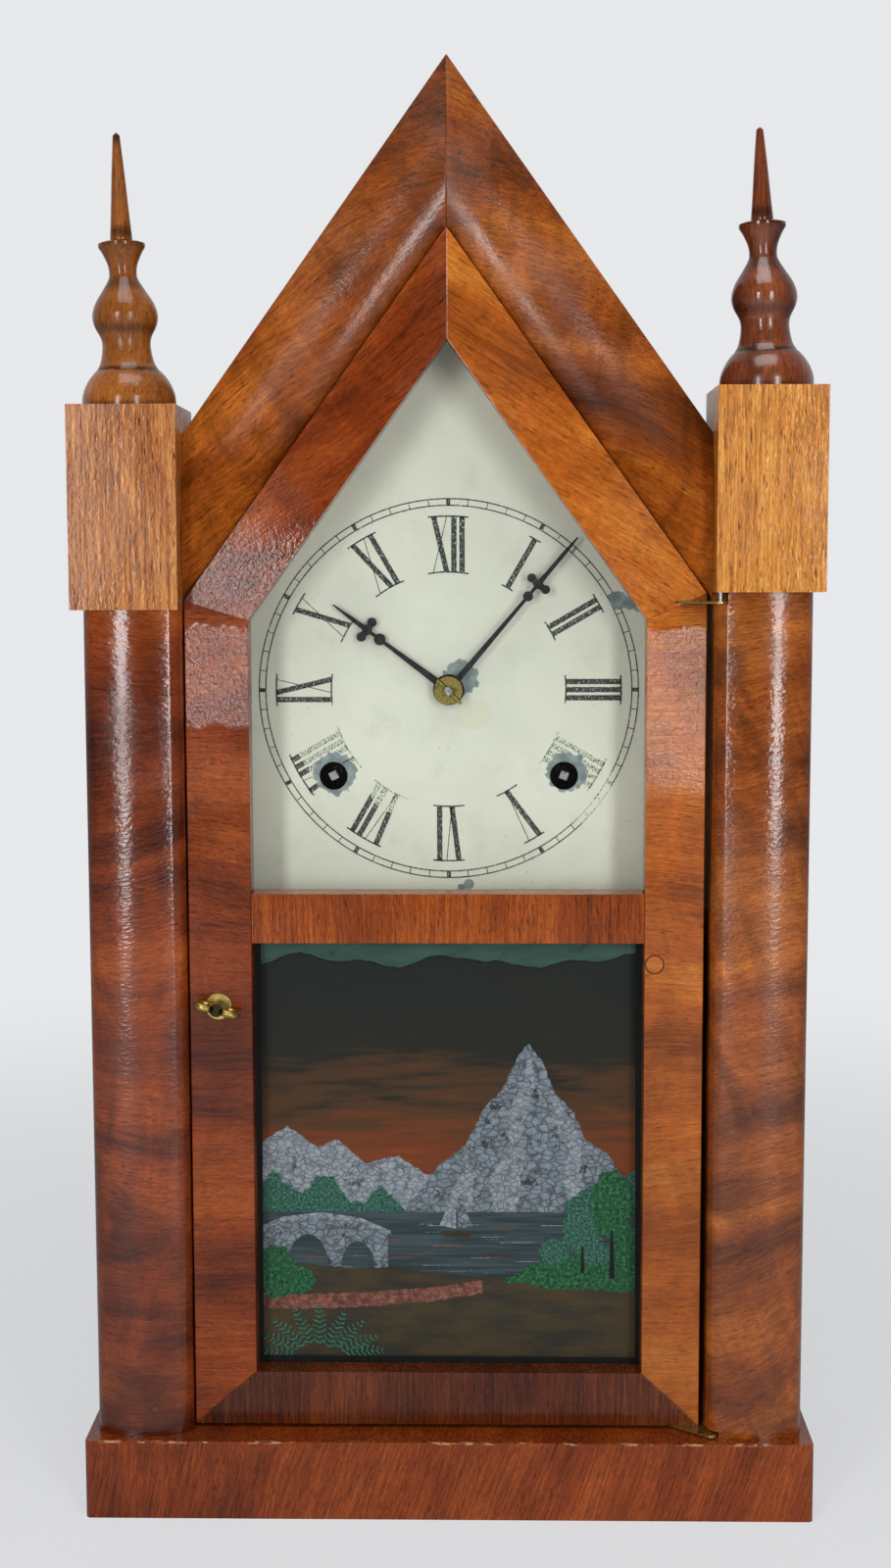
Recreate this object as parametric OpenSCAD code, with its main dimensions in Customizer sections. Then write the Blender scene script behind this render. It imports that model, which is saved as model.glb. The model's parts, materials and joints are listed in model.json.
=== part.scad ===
// Steeple clock: a peaked wooden case with half-round columns and turned finials,
// a glazed door with two panes, a sheet metal dial and an eight-day movement
// that strikes the hours on a coiled gong. Millimetres, +Z up, front towards -Y,
// origin at the middle of the underside of the base.

/* [Case] */
// Width of the base
base_w = 257; // [235:1:280]
// Width of the base beyond each column
base_ledge = 3.2; // [2:0.1:6]
// Height of the base
base_h = 28.3; // [24:0.1:32]
// Thickness of the base front rail, front to back
base_front_t = 29.2; // [29.2:0.1:32]
// Height of the roof apex above the table
apex_z = 508; // [500:1:520]
// Slope of the roof in degrees
roof_slope = 54.2; // [53:0.1:55]
// Cover of the case sides behind the columns
column_lap = 20.7; // [16:0.1:24]
// Thickness of the side boards, the roof boards and the backboard
board_t = 8; // [6:0.5:9]
// Thickness of the bottom board
bottom_t = 8; // [6:0.5:10]

/* [Columns and cap blocks] */
// Width of a column
column_w = 34; // [30:0.5:36]
// Distance of the column's crest behind the base front
column_setback = 4.4; // [3:0.1:6]
// Rise of the round front over the column's flat sides
column_rise = 7.6; // [7.4:0.1:12]
// Radius of the column's rounded edges
column_edge_r = 6; // [3:0.5:7]
// Height of the right column's top above the shoulder of the door
column_over = 0.6; // [0.4:0.1:3]
// Drop of the left column's top below the right one
left_drop = 5.6; // [0:0.1:7]
// Distance of the cap blocks' front behind the base front
block_setback = 2.6; // [1:0.1:4]
// Width of a cap block
block_w = 37.1; // [34:0.1:39]
// Depth of a cap block
block_d = 39; // [36:0.5:42]
// Height of a cap block
block_h = 69.3; // [64:0.1:74]

/* [Finials] */
// Radius of the finial's foot
finial_r = 16; // [14:0.1:17.5]
// Height of the finial's turned body under its spike
finial_h = 57.4; // [50:0.1:62]
// Height of the left finial's spike above its collar
left_spike = 35.6; // [28:0.1:38]
// Height of the right finial's spike above its collar
right_spike = 30.5; // [26:0.1:38]
// Lean of the left finial to the left in degrees
left_lean = 1.85; // [0:0.05:3]
// Lean of the right finial to the left in degrees
right_lean = 2.3; // [0:0.05:3]
// Radius of the finial's tenon
tenon_r = 4; // [3:0.1:5]

/* [Gable mouldings] */
// Width of a gable moulding across its face
gable_w = 33.6; // [31:0.1:34]
// Distance of the moulding's crest in front of the case front
gable_t = 16.9; // [15:0.1:18]
// Radius of the moulding's cushion face outside the crest
gable_r = 37.3; // [32:0.1:45]
// Radius of the moulding's cushion face inside the crest
gable_inner_r = 21; // [16:0.5:30]
// Distance of the crest from the moulding's inner edge
gable_crest = 12; // [9:0.1:15]

/* [Door] */
// Thickness of the door frame
door_t = 16; // [14:0.1:16.3]
// Gap between the door and the left column
door_gap_left = 0.5; // [0.3:0.1:1]
// Gap between the door and the right column
door_gap_right = 2; // [1.5:0.1:3]
// Gap between the door and the base
door_gap_bottom = 1.3; // [1.2:0.1:2]
// Width of the door's left stile
stile_w = 22; // [19:0.1:25]
// Height of the bottom rail's top above the table
bottom_rail_top = 48.8; // [45:0.1:52]
// Height of the middle rail's lower edge above the table
middle_rail_z = 204.4; // [200:0.1:208]
// Height of the middle rail
middle_rail_h = 17.4; // [15:0.1:20]
// Width of the door's gable rails across their face
gable_rail_w = 21.8; // [19:0.1:23]
// Depth of the glass behind the door's face
glass_depth = 9.6; // [8:0.1:10]
// Thickness of the glass
glass_t = 2; // [1.5:0.1:2.5]
// Width of the rebate for the glass
rebate = 5; // [4:0.1:6]
// Thickness of the slips that hold the glass
slip_t = 3.4; // [2.5:0.1:3.8]

/* [Door hardware] */
// Distance of the hinge pins from the right column's inner face
hinge_in = 1.7; // [1.3:0.1:2]
// Distance of the hinge pins in front of the door's face
hinge_out = 6.9; // [6:0.1:7.5]
// Radius of a hinge pin
hinge_pin_r = 1; // [0.8:0.05:1.2]
// Height of the latch above the table
latch_z = 182; // [160:1:190]
// Distance of the latch from the door's openings
latch_in = 11.8; // [10:0.1:14]
// Radius of the latch spindle
latch_r = 1.6; // [1.2:0.05:2]

/* [Dial and hands] */
// Height of the dial's centre above the table
dial_z = 291.7; // [289:0.1:294]
// Distance of the dial behind the door frame
dial_back = 11; // [9:0.1:12]
// Thickness of the dial sheet
dial_t = 0.6; // [0.5:0.05:1]
// Gap between the dial sheet and the cap blocks
dial_gap = 1.3; // [0.5:0.1:4]
// Height of the dial sheet's lower edge above the middle rail's lower edge
dial_lift = 7.6; // [4:0.1:12]
// Depth of a dial cleat
cleat_t = 12; // [8:0.5:15]
// Width of a cleat behind the dial sheet
cleat_lap = 6; // [4:0.5:10]
// Outer radius of the hour hand's pipe
hour_pipe_r = 3.2; // [2.8:0.1:3.4]
// Side of the square that carries the minute hand
square_side = 2.5; // [2.2:0.1:2.6]
// Radius of the winding holes
winding_hole_r = 5.1; // [4.5:0.1:6]
// Radius of the hole for the hands
hand_hole_r = 5.6; // [5:0.1:6.5]
// Length of the minute hand
minute_len = 71; // [66:0.5:72]
// Length of the hour hand
hour_len = 51.2; // [46:0.5:54]
// Angle of the minute hand, clockwise from twelve
minute_angle = 40.3; // [0:0.1:360]
// Angle of the hour hand, clockwise from twelve
hour_angle = 306.6; // [0:0.1:360]
// Thickness of the hands
hand_t = 0.8; // [0.6:0.1:1]

/* [Movement plates] */
// Half width of the plates
plate_half = 67; // [66:0.5:70]
// Distance of the plates' top edge above the dial's centre
plate_up = 41; // [40:0.5:44]
// Distance of the plates' bottom edge below the dial's centre
plate_down = 71; // [70.5:0.5:74]
// Thickness of a plate
plate_t = 1.4; // [1:0.1:1.6]
// Distance between the plates
plate_gap = 34; // [34:0.5:36]
// Distance of the front plate behind the dial
plate_back = 17.5; // [17.5:0.1:18.5]
// Thickness of the wooden seat strips behind the movement
seat_t = 5.2; // [4:0.1:8]
// Width of a seat strip
seat_w = 9.5; // [8:0.5:12]
// Radius of a pillar
pillar_r = 2.8; // [2.4:0.1:3]

/* [Trains] */
// Teeth of a great wheel
great_teeth = 72; // [66:6:78]
// Module of the great wheels
great_m = 0.85; // [0.8:0.01:0.88]
// Trundles of the pinions driven by the great wheels
great_pinion = 8; // [7:1:9]
// Teeth of the second wheel
second_teeth = 48; // [42:6:54]
// Teeth of the centre pinion wheel
centre_pinion_teeth = 36; // [30:3:42]
// Module of the second wheel and centre pinion wheel
second_m = 0.6; // [0.56:0.01:0.64]
// Teeth of the centre wheel
centre_teeth = 72; // [66:6:78]
// Module of the centre wheel
centre_m = 0.62; // [0.58:0.01:0.66]
// Teeth of the third wheel
third_teeth = 72; // [66:6:78]
// Module of the third wheel
third_m = 0.58; // [0.54:0.01:0.6]
// Trundles of the fast pinions
fast_pinion = 7; // [6:1:8]
// Teeth of the escape wheel
escape_teeth = 42; // [36:2:48]
// Radius of the escape wheel
escape_r = 15; // [14:0.1:15]
// Teeth of the pin wheel
pin_wheel_teeth = 70; // [60:10:80]
// Module of the pin wheel
pin_wheel_m = 0.6; // [0.56:0.01:0.64]
// Number of lifting pins
lifting_pins = 10; // [8:1:12]
// Teeth of the warning wheel
warning_teeth = 60; // [54:6:66]
// Module of the warning wheel
warning_m = 0.55; // [0.5:0.01:0.58]
// Distance of the winding arbors from the middle
winding_x = 41.5; // [40:0.5:43]
// Distance of the winding arbors below the dial's centre
winding_drop = 31; // [29:0.5:33]
// Teeth of the minute wheel and of the hour wheel
motion_teeth = 36; // [32:1:40]
// Trundles of the cannon pinion
cannon_trundles = 12; // [10:1:14]
// Trundles of the minute pinion
minute_trundles = 9; // [8:1:10]
// Module of the cannon pinion and minute wheel
cannon_m = 0.6; // [0.55:0.01:0.65]
// Radius of a wheel arbor
arbor_r = 1.2; // [1:0.05:1.25]
// Radius of an arbor's pivots
pivot_r = 0.7; // [0.6:0.05:0.9]
// Radial clearance of a running fit
fit = 0.05; // [0.03:0.01:0.1]

/* [Pendulum and gong] */
// Length from the suspension to the bob's middle
pendulum_len = 163; // [158:1:168]
// Radius of the bob
bob_r = 21; // [18:0.5:23]
// Thickness of the bob
bob_t = 8; // [6:0.5:8.5]
// Height of the gong's middle above the table
gong_z = 135; // [130:1:140]
// Outer radius of the gong coil, to the middle of the wire
gong_r = 39; // [36:0.5:42]
// Radius of the gong wire
gong_wire_r = 1.3; // [1:0.1:1.6]
// Turns of the gong coil
gong_turns = 5; // [4:1:6]

/* [Hidden] */
$fn = 64;
WOOD = "saddlebrown";
DARK_WOOD = "maroon";
BRASS = "goldenrod";
STEEL = "slategray";
IRON = "dimgray";

// Planes across the case, front to back
door_gap_back = 0.3;
inside_d = dial_back - door_gap_back + dial_t + plate_back + 2 * plate_t + plate_gap + seat_t;
base_d = base_front_t + inside_d + board_t;
base_front_y = -base_d / 2;
case_front_y = base_front_y + base_front_t;
column_front_y = base_front_y + column_setback;
column_flat_y = column_front_y + column_rise;
block_front_y = base_front_y + block_setback;
block_back_y = block_front_y + block_d;
door_back_y = case_front_y - door_gap_back;
door_front_y = door_back_y - door_t;
glass_front_y = door_front_y + glass_depth;
glass_back_y = glass_front_y + glass_t;
dial_front_y = door_back_y + dial_back;
dial_back_y = dial_front_y + dial_t;
front_plate_y = dial_back_y + plate_back;
inner_front_y = front_plate_y + plate_t;
inner_back_y = inner_front_y + plate_gap;
back_plate_y = inner_back_y + plate_t;
board_y = back_plate_y + seat_t;
back_y = base_d / 2;

// Sloping lines of the roof, gable and door: height at the middle, and fall per millimetre
fall = tan(roof_slope);
over = 1 / cos(roof_slope);
roof_inset = 2;
roof_top = apex_z - roof_inset * over;
roof_under = roof_top - board_t * over;
gable_inner = apex_z - gable_w * over;
door_gap_top = 0.4;
door_top = gable_inner - door_gap_top * over;
sight_top = door_top - gable_rail_w * over;
column_x = base_w / 2 - base_ledge - column_w;
column_mid = column_x + column_w / 2;
case_half = column_x + column_lap;
door_left = -(column_x - door_gap_left);
door_right = column_x - door_gap_right;
door_bottom = base_h + door_gap_bottom;
sight_half = column_x - door_gap_left - stile_w;
right_column_top = door_top - fall * door_right + column_over;
left_column_top = right_column_top - left_drop;
latch_x = sight_half + latch_in;
dial_half = column_x - dial_gap;
dial_bottom = middle_rail_z + dial_lift;
middle_rail_top = middle_rail_z + middle_rail_h;
block_x = column_x + block_w / 2;
finial_y = (block_front_y + block_back_y) / 2;
tenon_len = 11;
hinge_x = column_x + hinge_in;
hinge_y = door_front_y - hinge_out;
hinge_plate_t = 0.8;
hinge_foot = 6;
hinge_reach_down = 4;
hinge_reach_up = 5;
plate_kerf_z = right_column_top - hinge_reach_down + 0.1;
side_inner = case_half - board_t;

// Arbor places in the plates, as [x, height] from the dial's centre, set by the trains
function pitch_r(teeth, m) = teeth * m / 2;
function way(p, q) = atan2(q[1] - p[1], q[0] - p[0]);
function step_from(p, r, a) = p + r * [cos(a), sin(a)];
function meet(p, rp, q, rq, side) =
  let (d = norm(q - p), a = (rp * rp - rq * rq + d * d) / (2 * d), u = (q - p) / d)
  p + a * u + side * sqrt(rp * rp - a * a) * [-u[1], u[0]];
centre = [0, 0];
time_great = [winding_x, -winding_drop];
strike_great = [-winding_x, -winding_drop];
great_reach = pitch_r(great_teeth, great_m) + pitch_r(great_pinion, great_m);
second_reach = pitch_r(second_teeth, second_m) + pitch_r(centre_pinion_teeth, second_m);
second = meet(centre, second_reach, time_great, great_reach, 1);
third = step_from(centre, pitch_r(centre_teeth, centre_m) + pitch_r(fast_pinion, centre_m), -75);
escape_reach = pitch_r(third_teeth, third_m) + pitch_r(fast_pinion, third_m);
escape = [0, third[1] - sqrt(escape_reach * escape_reach - third[0] * third[0])];
verge_at = escape + [0, escape_r + 3];
pin_at = [-second[0], second[1]];
warning = step_from(pin_at, pitch_r(pin_wheel_teeth, pin_wheel_m)
  + pitch_r(fast_pinion, pin_wheel_m), 90);
fly_at = step_from(warning, pitch_r(warning_teeth, warning_m) + pitch_r(fast_pinion, warning_m), 21);
hammer_at = [-62, 6];
minute_reach = pitch_r(motion_teeth, cannon_m) + pitch_r(cannon_trundles, cannon_m);
hour_m = 2 * minute_reach / (motion_teeth + minute_trundles);
minute_at = [0, minute_reach];
upper_pillar = [plate_half - 7, plate_up - 7];
lower_pillar = [plate_half - 13, 5 - plate_down];
pillars_at = [upper_pillar, [-upper_pillar[0], upper_pillar[1]],
  lower_pillar, [-lower_pillar[0], lower_pillar[1]]];
seat_screws_at = [[30, plate_up - 5], [-44, plate_up - 5], [24, 5 - plate_down], [-24, 5 - plate_down]];
// Openings in the plates: x, height, width and height from the dial's centre
windows = [[34, -2, 22, 30], [-52, -8, 14, 34], [9, 9, 14, 24], [24, -60, 20, 15], [-44, -60, 20, 15]];
seat_screw_r = 1.5;
post_r = 1;
pillar_tenon_r = 1.8;
winding_pivot_r = 2;
winding_arbor_r = 2.4;
winding_square = 2.9;
hand_pin_r = 0.75;
centre_front_r = 1.9;

// Layers of the movement, measured back from the front plate's inner face
great_y = inner_front_y + 5.6;
great_t = 2;
spring_y = great_y + great_t + 2.4;
spring_w = 16;
second_y = inner_front_y + 26.6;
centre_y = second_y + 2.4;
third_y = centre_y + 2.6;
pin_wheel_y = inner_front_y + 1.1;
warning_y = inner_front_y + 14.6;
wheel_t = 1.2;
hammer_y = inner_front_y + 3.2;
escape_y = front_plate_y - 3.1;
escape_t = 1;
cannon_y = front_plate_y - 3.5;
hour_wheel_y = front_plate_y - 6.9;
crutch_y = front_plate_y - 7.3;
pendulum_y = front_plate_y - 11.5;
hour_hand_y = dial_front_y - 2.8;
minute_hand_y = hour_hand_y - 2.4;
pin_depth_y = minute_hand_y - 1.75;
arbor_end_y = minute_hand_y - 4.6;
cock_half = 19.5;
cock_w = 3;
cock_top = 6;
cock_t = 1;
cock_y = escape_y - 2.5;
gong_y = hammer_y;

// Sizes shared by several modules
ratchet_r = 8.4;
ratchet_teeth = 20;
click_at = [12.2, 4];
rod_r = 0.8;
bob_z = -pendulum_len;
gong_start_r = 9;
gong_pitch = (gong_r - gong_start_r) / gong_turns;
gong_left_r = gong_r - gong_pitch / 2;

// Helpers: a shape drawn in X and height, given a depth from y0 to y1
module slab(y0, y1) {
  translate([0, y1, 0]) rotate([90, 0, 0]) linear_extrude(y1 - y0) children();
}
module rod_y(r, y0, y1) {
  translate([0, y1, 0]) rotate([90, 0, 0]) cylinder(r = r, h = y1 - y0);
}
module at(p) {
  translate([p[0], 0, dial_z + p[1]]) children();
}
module wire(p, q, r) {
  d = q - p;
  translate(p) rotate([0, acos(d[2] / norm(d)), atan2(d[1], d[0])]) cylinder(r = r, h = norm(d), $fn = 24);
}
module both_sides() {
  children();
  mirror([1, 0, 0]) children();
}

// Case woodwork
module base_front_rail() {
  color(WOOD) difference() {
    translate([-base_w / 2, base_front_y, 0]) cube([base_w, base_front_t, base_h]);
    translate([hinge_x, hinge_y, base_h - hinge_foot]) cylinder(r = hinge_pin_r, h = hinge_foot + 1);
    for (s = [-1, 1]) translate([s * base_w / 2, base_front_y, 0]) rotate([0, 0, 45])
      translate([-0.7, -0.7, -1]) cube([1.4, 1.4, base_h + 2]);
  }
}
module base_side_rails() {
  color(WOOD) both_sides()
    translate([case_half, case_front_y, 0])
      cube([base_w / 2 - case_half, back_y - case_front_y, base_h]);
}
module bottom_board() {
  color("burlywood") translate([-case_half, case_front_y, 0])
    cube([2 * case_half, back_y - case_front_y, bottom_t]);
}
module side_board(block_z) {
  difference() {
    slab(case_front_y, board_y) polygon([
      [side_inner, bottom_t], [case_half, bottom_t],
      [case_half, roof_under - fall * case_half], [side_inner, roof_under - fall * side_inner]]);
    translate([column_x, block_front_y, block_z]) cube([block_w, block_d, block_h]);
  }
}
module side_boards() {
  color("sienna") {
    side_board(right_column_top);
    mirror([1, 0, 0]) side_board(left_column_top);
  }
}
module backboard() {
  color("peru") slab(board_y, back_y) polygon([
    [-case_half, bottom_t], [case_half, bottom_t],
    [case_half, roof_top - fall * case_half], [0, roof_top], [-case_half, roof_top - fall * case_half]]);
}
module roof_board(block_z) {
  difference() {
    slab(case_front_y, board_y) polygon([
      [0, roof_under], [0, roof_top], [case_half, roof_top - fall * case_half],
      [case_half, roof_under - fall * case_half]]);
    translate([column_x, block_front_y, block_z]) cube([block_w, block_d, block_h]);
  }
}
module roof_boards() {
  color("sienna") {
    roof_board(right_column_top);
    mirror([1, 0, 0]) roof_board(left_column_top);
  }
}
// A column is a post with flat sides and a round front that turns into rounded edges,
// standing on the base
module column(top) {
  edge_x = column_w / 2 - column_edge_r;
  face_r = (column_rise * column_rise + edge_x * edge_x - column_edge_r * column_edge_r)
    / (2 * (column_rise - column_edge_r));
  meet_x = edge_x * face_r / (face_r - column_edge_r);
  translate([column_mid, column_front_y, base_h]) linear_extrude(top - base_h) union() {
    translate([-column_w / 2, column_rise]) square([column_w, case_front_y - column_flat_y]);
    intersection() {
      translate([0, face_r]) circle(r = face_r, $fn = 128);
      translate([-meet_x, 0]) square([2 * meet_x, column_rise + column_edge_r]);
    }
    for (s = [-1, 1]) translate([s * edge_x, column_rise]) circle(r = column_edge_r);
  }
}
module left_column() {
  color(DARK_WOOD) mirror([1, 0, 0]) column(left_column_top);
}
// The right column is notched where the hinge plates reach past its edge
module hinge_notch(z, h) {
  translate([column_x - 1, hinge_y - 3, z]) cube([hinge_in + 3.8, hinge_out + 7.1, h]);
}
module right_column() {
  color(DARK_WOOD) difference() {
    column(right_column_top);
    hinge_notch(right_column_top - hinge_reach_down - 0.2, hinge_reach_down + 1);
    hinge_notch(base_h - 1, door_gap_bottom + 1.5);
  }
}
module cap_block(z) {
  difference() {
    translate([column_x, block_front_y, z]) cube([block_w, block_d, block_h]);
    translate([block_x, finial_y, z + block_h - tenon_len - 1])
      cylinder(r = tenon_r + fit, h = tenon_len + 2);
  }
}
module left_cap_block() {
  color("chocolate") mirror([1, 0, 0]) cap_block(left_column_top);
}
module right_cap_block() {
  color("chocolate") difference() {
    cap_block(right_column_top);
    translate([hinge_x, hinge_y, right_column_top - 1])
      cylinder(r = hinge_pin_r, h = hinge_reach_up + 1);
  }
}
// Turned finial: dome foot, groove, neck, bulb, neck, collar and spike
function blend(a, b, c, d, t) = 0.5 * ((2 * b) + (c - a) * t + (2 * a - 5 * b + 4 * c - d) * t * t
  + (3 * b - a - 3 * c + d) * t * t * t);
function smooth_line(p, steps) = [for (i = [0:len(p) - 2], s = [0:steps - 1])
  blend(p[max(i - 1, 0)], p[i], p[i + 1], p[min(i + 2, len(p) - 1)], s / steps), p[len(p) - 1]];
// The body's points are shares of its radius and height
function turned(p) = [for (q = p) [q[0] * finial_r, q[1] * finial_h]];
module finial_shape(spike) {
  dome = turned([[1, -0.035], [1.006, 0.052], [0.95, 0.113], [0.838, 0.171], [0.713, 0.2125]]);
  groove = turned([[0.685, 0.217]]);
  body = turned([[0.662, 0.226], [0.575, 0.272], [0.519, 0.357], [0.544, 0.418], [0.669, 0.488],
    [0.7, 0.55], [0.625, 0.62], [0.462, 0.693], [0.325, 0.756], [0.294, 0.794], [0.319, 0.847],
    [0.412, 0.909], [0.488, 0.944]]);
  collar = turned([[0.5, 0.951], [0.5, 0.969], [0.4, 0.979], [0.238, 0.986]]);
  spike_r = 0.238 * finial_r;
  tip = [for (p = [[1, 0], [0.82, 0.25], [0.58, 0.62], [0.31, 0.97]])
    [p[0] * spike_r, finial_h + p[1] * spike]];
  rotate_extrude($fn = 96) polygon(concat([[0, dome[0][1]]], smooth_line(dome, 4), groove,
    smooth_line(body, 4), collar, smooth_line(tip, 3), [[0, finial_h + spike]]));
}
module finial(spike, lean) {
  union() {
    intersection() {
      rotate([0, -lean, 0]) finial_shape(spike);
      translate([-2 * finial_r, -2 * finial_r, 0]) cube([4 * finial_r, 4 * finial_r, 8 * finial_r]);
    }
    translate([0, 0, -tenon_len]) cylinder(r = tenon_r, h = tenon_len + 1);
  }
}
module left_finial() {
  color(DARK_WOOD) translate([-block_x, finial_y, left_column_top + block_h])
    finial(left_spike, left_lean);
}
module right_finial() {
  color(DARK_WOOD) translate([block_x, finial_y, right_column_top + block_h])
    finial(right_spike, right_lean);
}
module gable_moulding() {
  crest_y = case_front_y - gable_t;
  intersection() {
    translate([0, 0, gable_inner]) rotate([0, roof_slope - 90, 0]) translate([0, 0, -apex_z])
      linear_extrude(2 * apex_z) union() {
        intersection() {
          translate([gable_crest, crest_y + gable_r]) circle(r = gable_r, $fn = 160);
          translate([gable_crest, crest_y]) square([gable_w - gable_crest, gable_t]);
        }
        intersection() {
          translate([gable_crest, crest_y + gable_inner_r]) circle(r = gable_inner_r, $fn = 96);
          translate([0, crest_y]) square([gable_crest + 0.01, gable_t]);
        }
      }
    translate([0, crest_y - 1, 0]) cube([column_x, gable_t + 2, 2 * apex_z]);
  }
}
module left_gable_moulding() {
  color(DARK_WOOD) mirror([1, 0, 0]) gable_moulding();
}
module right_gable_moulding() {
  color(DARK_WOOD) gable_moulding();
}
module dial_cleats() {
  color("burlywood") both_sides()
    translate([dial_half - cleat_lap, dial_back_y, dial_bottom])
      cube([side_inner - dial_half + cleat_lap, cleat_t, left_column_top - dial_bottom - 2]);
}
module hinge_pins() {
  color(STEEL) {
    translate([hinge_x, hinge_y, base_h - hinge_foot])
      cylinder(r = hinge_pin_r, h = hinge_foot + door_gap_bottom);
    translate([hinge_x, hinge_y, right_column_top - hinge_reach_down])
      cylinder(r = hinge_pin_r, h = hinge_reach_down + hinge_reach_up);
  }
}

// Door frame, glass and hardware
module sight_outline(grow) {
  polygon([[-sight_half - grow, middle_rail_top - grow], [sight_half + grow, middle_rail_top - grow],
    [sight_half + grow, sight_top + grow * over - fall * (sight_half + grow)],
    [0, sight_top + grow * over],
    [-sight_half - grow, sight_top + grow * over - fall * (sight_half + grow)]]);
}
module tablet_outline(grow) {
  translate([-sight_half - grow, bottom_rail_top - grow])
    square([2 * (sight_half + grow), middle_rail_z - bottom_rail_top + 2 * grow]);
}
module door_piece(points) {
  difference() {
    slab(door_front_y, door_back_y) polygon(points);
    slab(glass_front_y, door_back_y + 1) union() {
      sight_outline(rebate);
      tablet_outline(rebate);
    }
    slab(door_front_y - 1, door_back_y + 1) union() {
      sight_outline(0);
      tablet_outline(0);
    }
  }
}
function stile_points(x) = let (s = sign(x)) [[x, door_bottom], [x, door_top - fall * abs(x)],
  [s * sight_half, sight_top - fall * sight_half], [s * sight_half, bottom_rail_top]];
function gable_rail_points(x) = [[0, door_top], [x, door_top - fall * abs(x)],
  [sign(x) * sight_half, sight_top - fall * sight_half], [0, sight_top]];
module plate_kerf() {
  translate([hinge_x - 14.5, door_front_y - 1, plate_kerf_z]) cube([20, 8, hinge_plate_t]);
}
module door_left_stile() {
  color(DARK_WOOD) difference() {
    door_piece(stile_points(door_left));
    translate([-latch_x, 0, latch_z]) rod_y(latch_r + fit, door_front_y - 1, door_back_y + 1);
  }
}
module door_right_stile() {
  color(DARK_WOOD) difference() {
    door_piece(stile_points(door_right));
    plate_kerf();
  }
}
module door_bottom_rail() {
  color(DARK_WOOD) door_piece([[door_left, door_bottom], [door_right, door_bottom],
    [sight_half, bottom_rail_top], [-sight_half, bottom_rail_top]]);
}
module door_middle_rail() {
  color("chocolate") door_piece([[-sight_half, middle_rail_z], [sight_half, middle_rail_z],
    [sight_half, middle_rail_top], [-sight_half, middle_rail_top]]);
}
module door_left_gable_rail() {
  color(DARK_WOOD) door_piece(gable_rail_points(door_left));
}
module door_right_gable_rail() {
  color(DARK_WOOD) difference() {
    door_piece(gable_rail_points(door_right));
    plate_kerf();
  }
}
module upper_glass() {
  color("lightcyan", 0.4) slab(glass_front_y, glass_back_y) sight_outline(rebate - 0.3);
}
module tablet_glass() {
  color("darkslategray") slab(glass_front_y, glass_back_y) tablet_outline(rebate - 0.3);
}
module glass_slips() {
  color("burlywood") slab(glass_back_y, glass_back_y + slip_t) union() {
    difference() {
      sight_outline(rebate - 0.1);
      sight_outline(0.6);
    }
    difference() {
      tablet_outline(rebate - 0.1);
      tablet_outline(0.6);
    }
  }
}
module hinge_plate() {
  linear_extrude(hinge_plate_t) difference() {
    union() {
      polygon([[hinge_x - 14, door_front_y + 1], [hinge_x - 14, door_front_y + 6],
        [door_right - 0.5, door_front_y + 6], [door_right - 0.5, door_front_y + 4],
        [hinge_x + 1.6, hinge_y], [hinge_x - 1.6, hinge_y - 1.6]]);
      translate([hinge_x, hinge_y]) circle(r = hinge_pin_r + 1.2);
    }
    translate([hinge_x, hinge_y]) circle(r = hinge_pin_r + fit);
  }
}
module hinge_plates() {
  color(BRASS) {
    translate([0, 0, door_bottom - hinge_plate_t]) hinge_plate();
    translate([0, 0, plate_kerf_z]) hinge_plate();
  }
}
module latch_escutcheon() {
  color(BRASS) translate([-latch_x, 0, latch_z]) difference() {
    rod_y(4.6, door_front_y - 0.8, door_front_y);
    rod_y(latch_r + fit, door_front_y - 2, door_front_y + 1);
  }
}
// Latch: a two-looped brass bow on a spindle, with a tongue behind the door
module door_latch() {
  bow_y = door_front_y - 5.8;
  bow_r = 2.6;
  bow_wire_r = 1.3;
  bow_root_r = 2.4;
  bow_tilt = 15;
  tongue_y = case_front_y + 0.4;
  tongue_w = 5.2;
  tongue_len = 16;
  color(BRASS) translate([-latch_x, 0, latch_z]) union() {
    rod_y(latch_r, bow_y, tongue_y + 1.2);
    rod_y(bow_root_r, bow_y - bow_wire_r - 0.4, door_front_y - 1.2);
    rotate([0, bow_tilt, 0]) for (s = [-1, 1])
      translate([s * (bow_r + bow_root_r - 0.5), bow_y, 0])
        rotate_extrude() translate([bow_r, 0]) circle(r = bow_wire_r, $fn = 32);
    slab(tongue_y, tongue_y + 1.6) union() {
      circle(r = latch_r + 1.8);
      translate([-tongue_w / 2, -tongue_len]) square([tongue_w, tongue_len]);
    }
  }
}

// Dial and hands
module dial() {
  shoulder = roof_under - 3 * over;
  color("ivory") difference() {
    slab(dial_front_y, dial_back_y) polygon([
      [-dial_half, dial_bottom], [dial_half, dial_bottom],
      [dial_half, shoulder - fall * dial_half], [0, shoulder], [-dial_half, shoulder - fall * dial_half]]);
    at(centre) rod_y(hand_hole_r, dial_front_y - 1, dial_back_y + 1);
    at(time_great) rod_y(winding_hole_r, dial_front_y - 1, dial_back_y + 1);
    at(strike_great) rod_y(winding_hole_r, dial_front_y - 1, dial_back_y + 1);
  }
}
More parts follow.
